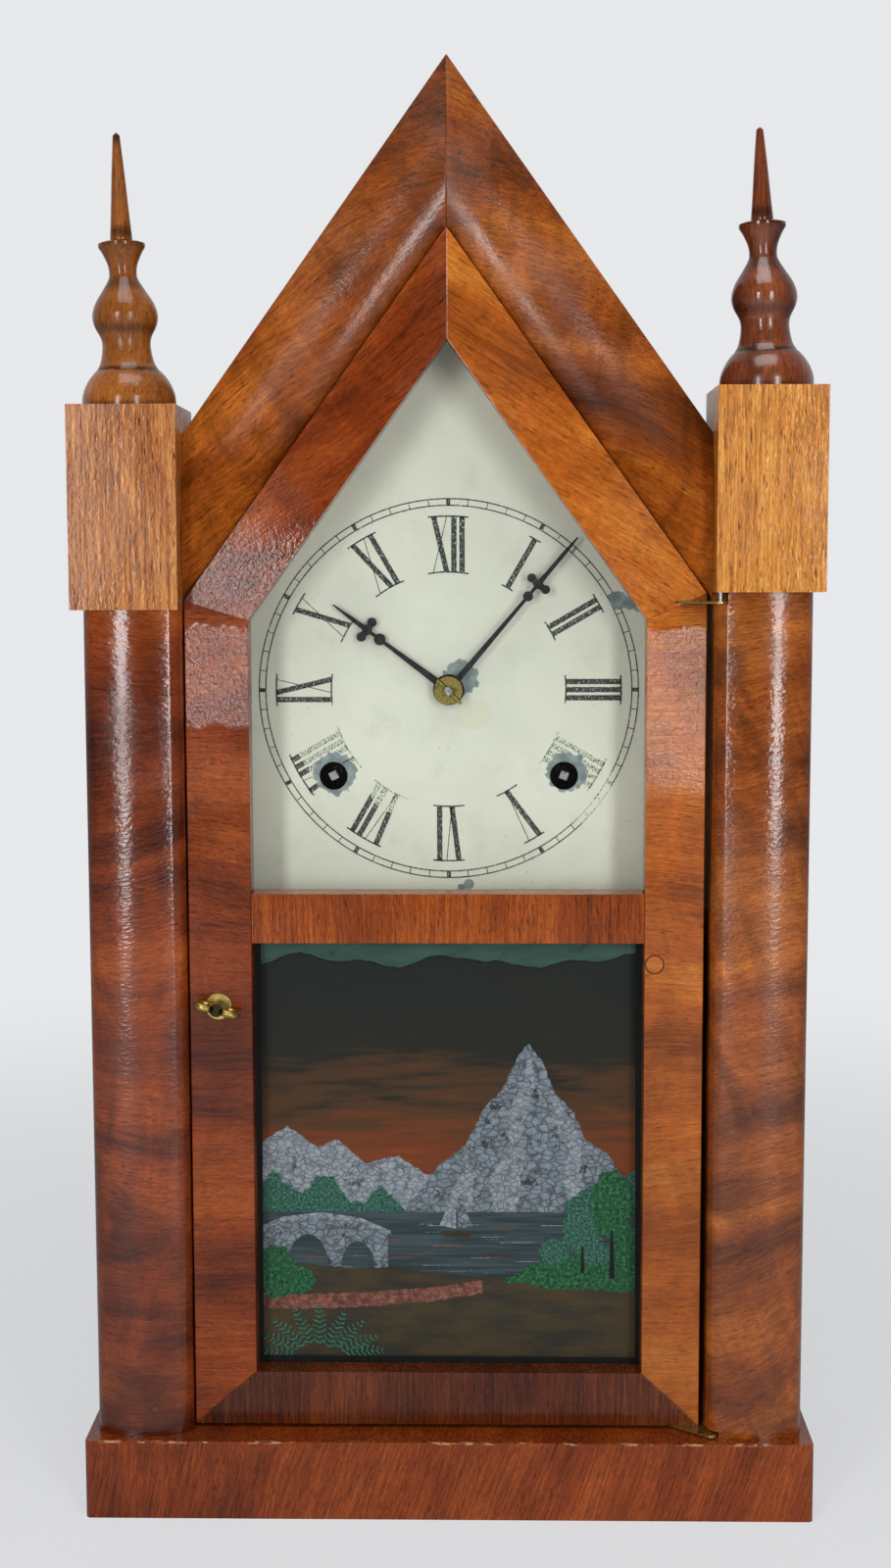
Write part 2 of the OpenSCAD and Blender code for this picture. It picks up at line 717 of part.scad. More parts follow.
// A hand is a tapering blade with a ball and two side balls below its leaf-shaped point
module hand_outline(reach, ball_at, ball_r, side_r, root_w) {
  side_at = ball_at + 5.8;
  half = [[root_w / 2, 0], [0.6, ball_at], [0.6, side_at - 1.8], [3, side_at - 0.8],
    [3, side_at + 0.6], [1, side_at + 1.2], [0.8, side_at + 4], [0.75, reach - 8], [0.25, reach]];
  polygon(concat(half, [for (i = [len(half) - 1:-1:0]) [-half[i][0], half[i][1]]]));
  translate([0, ball_at]) circle(r = ball_r, $fn = 32);
  for (s = [-1, 1]) translate([s * 3.2, side_at]) circle(r = side_r, $fn = 32);
}
module hour_hand() {
  color(IRON) at(centre) difference() {
    rotate([0, hour_angle, 0]) slab(hour_hand_y, hour_hand_y + hand_t) union() {
      hand_outline(hour_len, 30.5, 2.1, 1.7, 2.9);
      circle(r = 5);
    }
    rod_y(hour_pipe_r + 0.01, hour_hand_y - 1, hour_hand_y + 2);
  }
}
module minute_hand() {
  color(IRON) at(centre) rotate([0, minute_angle, 0])
    slab(minute_hand_y, minute_hand_y + hand_t) difference() {
      union() {
        hand_outline(minute_len, 43.8, 1.8, 1.6, 2.4);
        circle(r = 4.2);
      }
      square(square_side + 0.04, center = true);
    }
}
module hand_washer() {
  color(BRASS) at(centre) rotate([0, minute_angle, 0]) difference() {
    rod_y(5.1, minute_hand_y - 1, minute_hand_y);
    slab(minute_hand_y - 2, minute_hand_y + 1) square(square_side + 0.3, center = true);
  }
}
module hand_pin() {
  color(BRASS) at(centre) translate([0, pin_depth_y, 0]) rotate([0, 135, 0])
    translate([0, 0, -5.5]) cylinder(r1 = hand_pin_r, r2 = hand_pin_r - 0.25, h = 12, $fn = 32);
}

// Gear forms: cut wheels with crossings, and lantern pinions of round trundles
module gear_outline(teeth, m, tooth_at) {
  r = pitch_r(teeth, m);
  points = [[-m, -0.65 * m], [0, -0.55 * m], [0.8 * m, -0.25 * m], [0.8 * m, 0.25 * m],
    [0, 0.55 * m], [-m, 0.65 * m]];
  polygon([for (i = [0:teeth - 1], p = points)
    let (a = tooth_at + i * 360 / teeth)
    [(r + p[0]) * cos(a) - p[1] * sin(a), (r + p[0]) * sin(a) + p[1] * cos(a)]]);
}
module crossings(rim_r, hub_r, arms, arm_w) {
  difference() {
    circle(r = rim_r);
    circle(r = hub_r);
    for (i = [0:arms / 2 - 1]) rotate(i * 360 / arms + 20) square([2 * rim_r + 2, arm_w], center = true);
  }
}
module gear(teeth, m, tooth_at, y, t, rim, hub_r, arms, arm_w) {
  slab(y, y + t) difference() {
    gear_outline(teeth, m, tooth_at);
    if (arms > 0) crossings(pitch_r(teeth, m) - m - rim, hub_r, arms, arm_w);
  }
}
module lantern(trundles, m, gap_at, y0, y1, disc_t) {
  r = pitch_r(trundles, m);
  disc_r = r + 0.6 * m + 0.4;
  rod_y(disc_r, y0, y0 + disc_t);
  rod_y(disc_r, y1 - disc_t, y1);
  for (i = [0:trundles - 1]) {
    a = gap_at + (i + 0.5) * 360 / trundles;
    translate([r * cos(a), 0, r * sin(a)]) rod_y(0.6 * m, y0, y1, $fn = 16);
  }
}
module plain_arbor() {
  rod_y(arbor_r, inner_front_y + 0.3, inner_back_y - 0.3);
  rod_y(pivot_r, front_plate_y - 0.3, back_plate_y + 0.3);
}

// Movement frame
module plate_outline() {
  difference() {
    translate([-plate_half, -plate_down]) square([2 * plate_half, plate_down + plate_up]);
    for (w = windows) translate([w[0], w[1]]) square([w[2], w[3]]);
    for (p = [second, pin_at, third, escape, warning, fly_at, hammer_at])
      translate(p) circle(r = pivot_r + fit, $fn = 24);
    for (p = [time_great, strike_great]) translate(p) circle(r = winding_pivot_r + fit);
    for (p = pillars_at) translate(p) circle(r = pillar_tenon_r + fit);
  }
}
module front_plate() {
  color(BRASS) at(centre) union() {
    slab(front_plate_y, inner_front_y) difference() {
      plate_outline();
      circle(r = centre_front_r + fit);
    }
    translate([minute_at[0], 0, minute_at[1]]) rod_y(post_r, cannon_y - 4.6, front_plate_y);
    translate([verge_at[0], 0, verge_at[1]]) {
      rod_y(post_r, crutch_y - 0.9, front_plate_y);
      translate([-cock_w / 2, pendulum_y - 2, cock_top - 2.6])
        cube([cock_w, front_plate_y - pendulum_y + 2, 2.6]);
      translate([-cock_w / 2, pendulum_y - 2, 0.3]) cube([cock_w, 4, cock_top - 0.3]);
    }
    for (s = [-1, 1]) translate([s * cock_half, 0, escape[1]]) rod_y(post_r, cock_y - 0.6, front_plate_y);
  }
}
module back_plate() {
  color(BRASS) at(centre) slab(inner_back_y, back_plate_y) difference() {
    plate_outline();
    circle(r = pivot_r + fit, $fn = 24);
    for (p = seat_screws_at) translate(p) circle(r = seat_screw_r + fit);
  }
}
module plate_pillars() {
  color(BRASS) for (p = pillars_at) at(p) union() {
    rod_y(pillar_r, inner_front_y, inner_back_y);
    rod_y(pillar_tenon_r, front_plate_y - 1.2, back_plate_y + 2.6);
    rod_y(pillar_r + 0.6, back_plate_y, back_plate_y + 2);
  }
}
module movement_seat() {
  color("burlywood") difference() {
    union() {
      at([8 - plate_half, plate_up - seat_w - 0.5]) translate([0, back_plate_y, 0])
        cube([2 * plate_half - 16, seat_t, seat_w]);
      at([22 - plate_half, -plate_down]) translate([0, back_plate_y, 0])
        cube([2 * plate_half - 44, seat_t, seat_w]);
    }
    for (p = seat_screws_at) at(p) rod_y(seat_screw_r, back_plate_y - 1, board_y + 1);
    for (p = pillars_at) at(p) rod_y(pillar_r + 1, back_plate_y - 1, board_y + 1);
  }
}
module seat_screws() {
  color(STEEL) for (p = seat_screws_at) at(p) difference() {
    union() {
      rod_y(seat_screw_r, inner_back_y - 0.5, board_y);
      rod_y(3, inner_back_y - 1.6, inner_back_y);
    }
    translate([-3.5, inner_back_y - 2, -0.3]) cube([7, 1, 0.6]);
  }
}
// Mainspring: a strip coiled from the arbor out to the pillar that anchors it
module mainspring() {
  turns = 7;
  steps = 20;
  strip = 0.5;
  root_r = winding_arbor_r + 0.8;
  coiled_r = 27;
  tail_way = way(time_great, pillars_at[2]);
  end_r = norm(pillars_at[2] - time_great) - pillar_r - 0.15;
  function coil_r(k) = root_r + (coiled_r - root_r) * min(k / (turns * steps), 1)
    + (end_r - coiled_r) * max(0, (k - turns * steps) / 4);
  last = turns * steps + 4;
  line = [for (k = [0:last]) [coil_r(k), tail_way - (last - k) * 360 / steps]];
  at(time_great) slab(spring_y, spring_y + spring_w) polygon(concat(
    [for (p = line) p[0] * [cos(p[1]), sin(p[1])]],
    [for (k = [last:-1:0]) (line[k][0] - strip) * [cos(line[k][1]), sin(line[k][1])]]));
}
module mainsprings() {
  color(STEEL) both_sides() mainspring();
}

// Great wheels with their clicks, and the winding arbors with ratchets
module great_wheel(pinion_at, flip) {
  tooth_at = way([0, 0], pinion_at);
  difference() {
    union() {
      gear(great_teeth, great_m, tooth_at, great_y, great_t, 3.2, 16, 6, 4);
      mirror([flip, 0, 0]) slab(great_y + great_t - 0.01, great_y + great_t + 1.5) difference() {
        union() {
          translate(click_at) circle(r = 2.2);
          polygon([[click_at[0] - 2.2, click_at[1]], [click_at[0] + 2.2, click_at[1]],
            [10.6, -4.4], [9, -3.4]]);
        }
        circle(r = ratchet_r + 0.35);
      }
    }
    rod_y(winding_arbor_r + fit, great_y - 3, great_y + 5);
  }
}
module winding_arbor(square_turn) {
  rod_y(winding_arbor_r, inner_front_y + 0.3, inner_back_y - 0.3);
  rod_y(winding_pivot_r, front_plate_y - 0.4, back_plate_y + 0.3);
  rotate([0, square_turn, 0]) translate([-winding_square / 2, dial_front_y + 1, -winding_square / 2])
    cube([winding_square, front_plate_y - dial_front_y - 1.2, winding_square]);
  slab(great_y + great_t + 0.3, great_y + great_t + 1.5) polygon([for (i = [0:ratchet_teeth - 1], p = [0, 1])
    let (a = -(i + p * 0.92) * 360 / ratchet_teeth, r = p == 0 ? ratchet_r : ratchet_r - 1.3)
    [r * cos(a), r * sin(a)]]);
}
module time_great_wheel() {
  color(BRASS) at(time_great) great_wheel(second - time_great, 0);
}
module time_winding_arbor() {
  color(STEEL) at(time_great) winding_arbor(20);
}
module second_wheel() {
  color(BRASS) at(second) union() {
    plain_arbor();
    lantern(great_pinion, great_m, way(second, time_great), great_y - 1.2, great_y + great_t + 1.2, 0.8);
    gear(second_teeth, second_m, way(second, centre), second_y, wheel_t, 1.6, 4, 4, 2.4);
  }
}
module centre_wheel() {
  color(BRASS) at(centre) difference() {
    union() {
      rod_y(arbor_r, inner_front_y + 0.3, inner_back_y - 0.3);
      rod_y(pivot_r, inner_back_y - 1, back_plate_y + 0.3);
      rod_y(centre_front_r, minute_hand_y + hand_t + 0.2, inner_front_y + 2);
      gear(centre_pinion_teeth, second_m, way(centre, second) + 180 / centre_pinion_teeth,
        second_y, wheel_t, 1.6, 3.4, 4, 2);
      gear(centre_teeth, centre_m, way(centre, third), centre_y, wheel_t, 2, 4.4, 4, 2.6);
      lantern(cannon_trundles, cannon_m, way(centre, minute_at), cannon_y - 0.3, front_plate_y - 0.4, 0.7);
      rotate([0, minute_angle, 0]) slab(arbor_end_y, minute_hand_y + hand_t + 0.3)
        square(square_side, center = true);
    }
    translate([0, pin_depth_y, 0]) rotate([0, 135, 0]) translate([0, 0, -5])
      cylinder(r = hand_pin_r + 0.02, h = 10, $fn = 32);
  }
}
module third_wheel() {
  color(BRASS) at(third) union() {
    plain_arbor();
    lantern(fast_pinion, centre_m, way(third, centre), centre_y - 0.9, third_y, 0.6);
    gear(third_teeth, third_m, way(third, escape), third_y, wheel_t, 2, 4, 4, 2.4);
  }
}
module escape_wheel() {
  root_r = escape_r - 1.9;
  pitch_a = 360 / escape_teeth;
  color(BRASS) at(escape) union() {
    rod_y(arbor_r, inner_front_y + 0.3, inner_back_y - 0.3);
    rod_y(pivot_r, cock_y - 0.3, back_plate_y + 0.3);
    rod_y(arbor_r, escape_y - 0.5, front_plate_y - 0.3);
    lantern(fast_pinion, third_m, way(escape, third), third_y - 0.9, third_y + wheel_t + 0.9, 0.6);
    slab(escape_y, escape_y + escape_t) difference() {
      polygon([for (i = [0:escape_teeth - 1], p = [[escape_r, 0], [escape_r - 0.1, 0.07],
          [root_r, 0.32], [root_r, 0.86]])
        let (a = -(i + p[1]) * pitch_a) [p[0] * cos(a), p[0] * sin(a)]]);
      crossings(root_r - 1.6, 3, 4, 1.8);
    }
  }
}
module escape_cock() {
  color(BRASS) at(escape) difference() {
    union() {
      translate([-cock_half - 3, cock_y, -3]) cube([2 * cock_half + 6, cock_t, 6]);
      for (s = [-1, 1]) translate([s * cock_half, 0, 0]) rod_y(2, cock_y, front_plate_y);
    }
    rod_y(pivot_r + fit, cock_y - 1, cock_y + cock_t + 1, $fn = 24);
    for (s = [-1, 1]) translate([s * cock_half, 0, 0]) rod_y(post_r + 0.02, cock_y - 1, front_plate_y + 1);
  }
}
// Verge: a strip bent over the escape wheel, with a crutch that embraces the pendulum rod
module verge() {
  band_r = escape_r + 1.6;
  reach = norm(verge_at - escape);
  fork_z = -24;
  fork_gap = rod_r + 0.35;
  fork_wire = 0.5;
  color(STEEL) at(verge_at) difference() {
    union() {
      rod_y(2.2, crutch_y - 0.5, front_plate_y - 0.3);
      slab(escape_y - 0.2, escape_y + escape_t + 0.2) union() {
        translate([0, -reach]) difference() {
          circle(r = band_r + 1.2, $fn = 96);
          circle(r = band_r, $fn = 96);
          polygon([[0, 0], [-40 * sin(38), 40 * cos(38)], [-60, 0], [-60, -60], [60, -60], [60, 0],
            [40 * sin(38), 40 * cos(38)]]);
        }
        for (s = [-1, 1]) translate([0, -reach]) rotate(s * 37) translate([-0.6, band_r - 0.55])
          square([1.2, 1.6]);
        circle(r = 2.2);
      }
      wire([0, crutch_y, 0], [0, crutch_y, fork_z], 0.6);
      translate([-fork_gap - 2 * fork_wire, crutch_y - 0.5, fork_z - 0.5])
        cube([2 * fork_gap + 4 * fork_wire, 1, 1]);
      for (s = [-1, 1]) translate([s * (fork_gap + fork_wire), 0, fork_z])
        rod_y(fork_wire, pendulum_y - 1.6, crutch_y, $fn = 24);
    }
    rod_y(post_r + fit, crutch_y - 2, front_plate_y + 1);
  }
}
module minute_wheel() {
  color(BRASS) at(minute_at) difference() {
    union() {
      gear(motion_teeth, cannon_m, -90, cannon_y + 0.9, 1.2, 1.8, 3.2, 4, 2);
      lantern(minute_trundles, hour_m, -90, hour_wheel_y - 0.8, cannon_y + 0.9, 0.7);
      rod_y(1.7, hour_wheel_y - 0.8, cannon_y + 2.1);
    }
    rod_y(post_r + fit, hour_wheel_y - 3, front_plate_y);
  }
}
module hour_wheel() {
  color(BRASS) at(centre) difference() {
    union() {
      gear(motion_teeth, hour_m, 90, hour_wheel_y, 1.2, 1.8, 4.6, 4, 2.2);
      rod_y(hour_pipe_r, hour_hand_y, hour_wheel_y + 1.2);
    }
    rod_y(centre_front_r + fit, hour_hand_y - 1, hour_wheel_y + 3);
  }
}

// Pendulum
module pendulum_rod() {
  color(STEEL) at(verge_at) union() {
    translate([-1.1, pendulum_y - 0.15, -8]) cube([2.2, 0.3, 8]);
    translate([-1.5, pendulum_y - 1.2, -11]) cube([3, 2.4, 4]);
    translate([0, pendulum_y, bob_z - bob_r - 12])
      cylinder(r = rod_r, h = pendulum_len + bob_r + 2, $fn = 24);
  }
}
module pendulum_bob() {
  edge = 1.6;
  color(BRASS) at(verge_at) difference() {
    translate([0, pendulum_y, bob_z]) rotate([90, 0, 0]) rotate_extrude($fn = 96)
      polygon(concat([[0, -bob_t / 2]],
        [for (i = [0:8]) [bob_r * sin(i * 10), -edge / 2 - (bob_t - edge) / 2 * cos(i * 10)]],
        [[bob_r, -edge / 2], [bob_r, edge / 2]],
        [for (i = [8:-1:0]) [bob_r * sin(i * 10), edge / 2 + (bob_t - edge) / 2 * cos(i * 10)]]));
    translate([0, pendulum_y, bob_z - bob_r - 2]) cylinder(r = rod_r + fit, h = 2 * bob_r + 4, $fn = 24);
  }
}
module rating_nut() {
  color(BRASS) at(verge_at) translate([0, pendulum_y, bob_z - bob_r - 3.2]) difference() {
    cylinder(r = 3.4, h = 3);
    translate([0, 0, -1]) cylinder(r = rod_r + fit, h = 5, $fn = 24);
    for (i = [0:9]) rotate(i * 36) translate([3.5, 0, -1]) cylinder(r = 0.35, h = 5, $fn = 16);
  }
}

// Strike train
module count_wheel() {
  slots = [for (h = [1:12]) h * (h + 1) / 2 + h];
  difference() {
    circle(r = 15);
    circle(r = 10.5);
    for (n = slots) rotate(-n * 4) translate([13.4, -0.35]) square([3, 0.7]);
  }
  circle(r = 4.5);
  for (i = [0:2]) rotate(i * 120) translate([0, -1.4]) square([11, 2.8]);
}
module strike_great_wheel() {
  color(BRASS) at(strike_great) difference() {
    union() {
      great_wheel(pin_at - strike_great, 1);
      slab(great_y - 1.7, great_y - 0.8) count_wheel();
      rod_y(4.5, great_y - 0.9, great_y);
    }
    rod_y(winding_arbor_r + fit, great_y - 3, great_y + 5);
  }
}
module strike_winding_arbor() {
  color(STEEL) at(strike_great) winding_arbor(65);
}
module pin_wheel() {
  color(BRASS) at(pin_at) union() {
    plain_arbor();
    lantern(great_pinion, great_m, way(pin_at, strike_great), great_y - 1.2, great_y + great_t + 1.2, 0.8);
    gear(pin_wheel_teeth, pin_wheel_m, way(pin_at, warning), pin_wheel_y, wheel_t, 5, 5, 4, 2.6);
    for (i = [0:lifting_pins - 1]) rotate([0, i * 360 / lifting_pins, 0]) translate([17, 0, 0])
      rod_y(0.6, pin_wheel_y, pin_wheel_y + 3.4, $fn = 20);
  }
}
module warning_wheel() {
  color(BRASS) at(warning) union() {
    plain_arbor();
    lantern(fast_pinion, pin_wheel_m, way(warning, pin_at), pin_wheel_y - 0.8, pin_wheel_y + 2.4, 0.5);
    gear(warning_teeth, warning_m, way(warning, fly_at), warning_y, wheel_t, 1.8, 3.6, 4, 2.2);
    translate([-14, 0, 0]) rod_y(0.5, warning_y - 3, warning_y, $fn = 20);
  }
}
module fly() {
  color(BRASS) at(fly_at) union() {
    plain_arbor();
    lantern(fast_pinion, warning_m, way(fly_at, warning), warning_y - 0.9, warning_y + wheel_t + 0.9, 0.6);
    translate([-11, warning_y + 3.4, -0.25]) cube([22, 8, 0.5]);
    rod_y(2, warning_y + 3.4, warning_y + 11.4);
  }
}
module hammer() {
  drop = dial_z + hammer_at[1] - gong_z;
  head_end = -gong_left_r - gong_wire_r - 0.8 - hammer_at[0];
  head_mid = head_end - 7;
  bend_z = -95;
  color(STEEL) at(hammer_at) union() {
    plain_arbor();
    rod_y(2, hammer_y - 1.2, hammer_y + 1.2);
    wire([0, hammer_y, 0], [0, hammer_y, bend_z], 0.9);
    translate([0, hammer_y, bend_z]) sphere(r = 1.1, $fn = 24);
    wire([0, hammer_y, bend_z], [head_mid, hammer_y, -drop], 0.9);
    slab(hammer_y - 0.6, hammer_y + 0.6) polygon([[0, -1.4], [18, -3.2], [18.2, -1.8], [0, 1.4]]);
    translate([head_end - 13, hammer_y, -drop]) rotate([0, 90, 0]) cylinder(r = 4.5, h = 12);
    translate([head_end - 1, hammer_y, -drop]) rotate([0, 90, 0]) cylinder(r = 3, h = 1);
  }
}

// Gong: one spiral of round wire held by an iron stand on the backboard
function gong_point(k) = let (a = k * 15, r = gong_start_r + gong_pitch * k / 24)
  [r * cos(a), r * sin(a)];
module gong_coil() {
  last = gong_turns * 24;
  sides = 6;
  // The wire leaves its block straight for one diameter, then spirals
  line = concat([[gong_start_r, -2 * gong_wire_r, 0]],
    [for (k = [0:last]) [gong_point(k)[0], gong_point(k)[1], k * 15]]);
  points = [for (p = line, s = [0:sides - 1])
    let (b = s * 360 / sides, w = gong_wire_r * cos(b))
    [p[0] + w * cos(p[2]), gong_y + gong_wire_r * sin(b), p[1] + w * sin(p[2])]];
  rings = len(line);
  walls = [for (k = [0:rings - 2], s = [0:sides - 1], half = [0, 1])
    let (a = k * sides + s, b = k * sides + (s + 1) % sides, c = a + sides, d = b + sides)
    half == 0 ? [a, c, b] : [b, c, d]];
  starts = [for (s = [1:sides - 2]) [0, s, s + 1]];
  ends = [for (s = [1:sides - 2]) let (e = (rings - 1) * sides) [e, e + s + 1, e + s]];
  color(STEEL) translate([0, 0, gong_z]) polyhedron(points, concat(walls, starts, ends));
}
gong_gap = min([for (k = [0:(gong_turns - 1) * 24]) norm(gong_point(k + 24) - gong_point(k))])
  - 2 * gong_wire_r;
echo(gong_least_gap = gong_gap);
module gong_stand() {
  foot_r = 14;
  foot_t = 3;
  screw_at = 9.5;
  block_t = 3;
  color(IRON) translate([0, 0, gong_z]) difference() {
    union() {
      rod_y(foot_r, board_y - foot_t, board_y);
      rod_y(gong_start_r - 4, gong_y - 4, board_y);
      translate([3, gong_y - 4, -2 * gong_wire_r - block_t]) cube([gong_start_r - 1, 8, block_t]);
    }
    for (s = [-1, 1]) translate([s * screw_at, 0, 0]) rod_y(seat_screw_r, board_y - foot_t - 1, board_y + 1);
  }
}

base_front_rail();
base_side_rails();
bottom_board();
side_boards();
backboard();
roof_boards();
left_column();
right_column();
left_cap_block();
right_cap_block();
left_finial();
right_finial();
left_gable_moulding();
right_gable_moulding();
dial_cleats();
hinge_pins();
door_left_stile();
door_right_stile();
door_bottom_rail();
door_middle_rail();
door_left_gable_rail();
door_right_gable_rail();
upper_glass();
tablet_glass();
glass_slips();
hinge_plates();
latch_escutcheon();
door_latch();
dial();
hour_hand();
minute_hand();
hand_washer();
hand_pin();
front_plate();
back_plate();
plate_pillars();
movement_seat();
seat_screws();
mainsprings();
time_great_wheel();
time_winding_arbor();
second_wheel();
centre_wheel();
third_wheel();
escape_wheel();
escape_cock();
verge();
minute_wheel();
hour_wheel();
pendulum_rod();
pendulum_bob();
rating_nut();
strike_great_wheel();
strike_winding_arbor();
pin_wheel();
warning_wheel();
fly();
hammer();
gong_coil();
gong_stand();
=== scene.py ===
import json
import math
import random

import bmesh
import bpy
from mathutils import Matrix, Vector


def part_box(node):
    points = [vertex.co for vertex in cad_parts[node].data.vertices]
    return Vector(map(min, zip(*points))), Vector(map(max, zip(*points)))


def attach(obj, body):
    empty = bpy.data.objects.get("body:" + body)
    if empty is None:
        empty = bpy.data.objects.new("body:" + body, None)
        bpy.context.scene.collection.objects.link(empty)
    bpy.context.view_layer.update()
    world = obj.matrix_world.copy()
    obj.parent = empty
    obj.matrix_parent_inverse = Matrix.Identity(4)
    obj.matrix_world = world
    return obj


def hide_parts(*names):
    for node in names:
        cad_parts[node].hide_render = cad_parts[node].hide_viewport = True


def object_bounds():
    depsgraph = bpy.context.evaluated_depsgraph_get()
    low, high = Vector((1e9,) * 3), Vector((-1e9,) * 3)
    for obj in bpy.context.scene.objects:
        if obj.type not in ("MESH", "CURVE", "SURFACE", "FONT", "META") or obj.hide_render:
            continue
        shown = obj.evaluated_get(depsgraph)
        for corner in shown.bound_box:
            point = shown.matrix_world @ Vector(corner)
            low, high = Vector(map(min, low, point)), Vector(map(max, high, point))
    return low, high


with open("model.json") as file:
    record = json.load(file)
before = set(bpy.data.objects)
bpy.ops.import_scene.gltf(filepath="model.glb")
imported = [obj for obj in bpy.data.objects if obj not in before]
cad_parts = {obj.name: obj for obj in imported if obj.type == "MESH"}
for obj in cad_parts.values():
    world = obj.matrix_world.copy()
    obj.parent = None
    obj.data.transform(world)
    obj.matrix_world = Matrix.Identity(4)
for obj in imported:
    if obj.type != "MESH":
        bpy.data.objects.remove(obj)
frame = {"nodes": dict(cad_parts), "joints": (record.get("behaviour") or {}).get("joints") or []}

# Steeple clock: the looks. Metres, +Z up, the clock faces -Y.
CAD_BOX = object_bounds()
NODES = frame["nodes"]
MM = 0.001
FRONT_Y = CAD_BOX[0][1]
DIAL_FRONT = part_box("dial")[0].y / MM
TABLET_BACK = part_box("tablet_glass")[1].y / MM
random.seed(7)


# Camera and light
CAMERA_AT = Vector((12.8, -748.3, 333.5)) * MM
CAMERA_PITCH = math.radians(5.89)
CAMERA_YAW = math.radians(-1.09)
CAMERA_ROLL = math.radians(-0.13)
CAMERA_LENS = 47.03
AMBIENT = 0.27
BACKDROP = (0.80, 0.81, 0.83)


def make_camera():
    """The photograph's camera: a portrait frame of 909 by 1600."""
    cy, sy = math.cos(CAMERA_YAW), math.sin(CAMERA_YAW)
    cp, sp = math.cos(CAMERA_PITCH), math.sin(CAMERA_PITCH)
    ahead = Vector((sy * cp, cy * cp, -sp))
    right = Vector((cy, -sy, 0))
    up = right.cross(ahead)
    side = math.cos(CAMERA_ROLL) * right + math.sin(CAMERA_ROLL) * up
    top = math.cos(CAMERA_ROLL) * up - math.sin(CAMERA_ROLL) * right
    data = bpy.data.cameras.new("camera")
    data.lens = CAMERA_LENS
    data.sensor_width = 36
    data.clip_start = 0.01
    camera = bpy.data.objects.new("camera", data)
    turn = Matrix((side, top, -ahead)).transposed().to_4x4()
    camera.matrix_world = Matrix.Translation(CAMERA_AT) @ turn
    bpy.context.scene.collection.objects.link(camera)
    bpy.context.scene.camera = camera


def soft_light(name, place, aim, width, height, power):
    """A rectangular soft light that points at aim."""
    data = bpy.data.lights.new(name, "AREA")
    data.shape = "RECTANGLE"
    data.size = width
    data.size_y = height
    data.energy = power
    lamp = bpy.data.objects.new(name, data)
    lamp.location = place
    way = Vector(aim) - Vector(place)
    lamp.rotation_euler = way.to_track_quat("-Z", "Y").to_euler()
    bpy.context.scene.collection.objects.link(lamp)


def make_lights():
    """Two tall soft boxes in front, to the left and right, and a wide one above."""
    for side in (-1, 1):
        soft_light(
            f"softbox_{side}", place=(side * 0.5, -1.2, 0.42), aim=(side * 0.02, 0, 0.3),
            width=0.17, height=0.72, power=5.6,
        )
    soft_light("top_fill", place=(0, -0.5, 1.5), aim=(0, 0, 0.2), width=0.9, height=0.6, power=8)


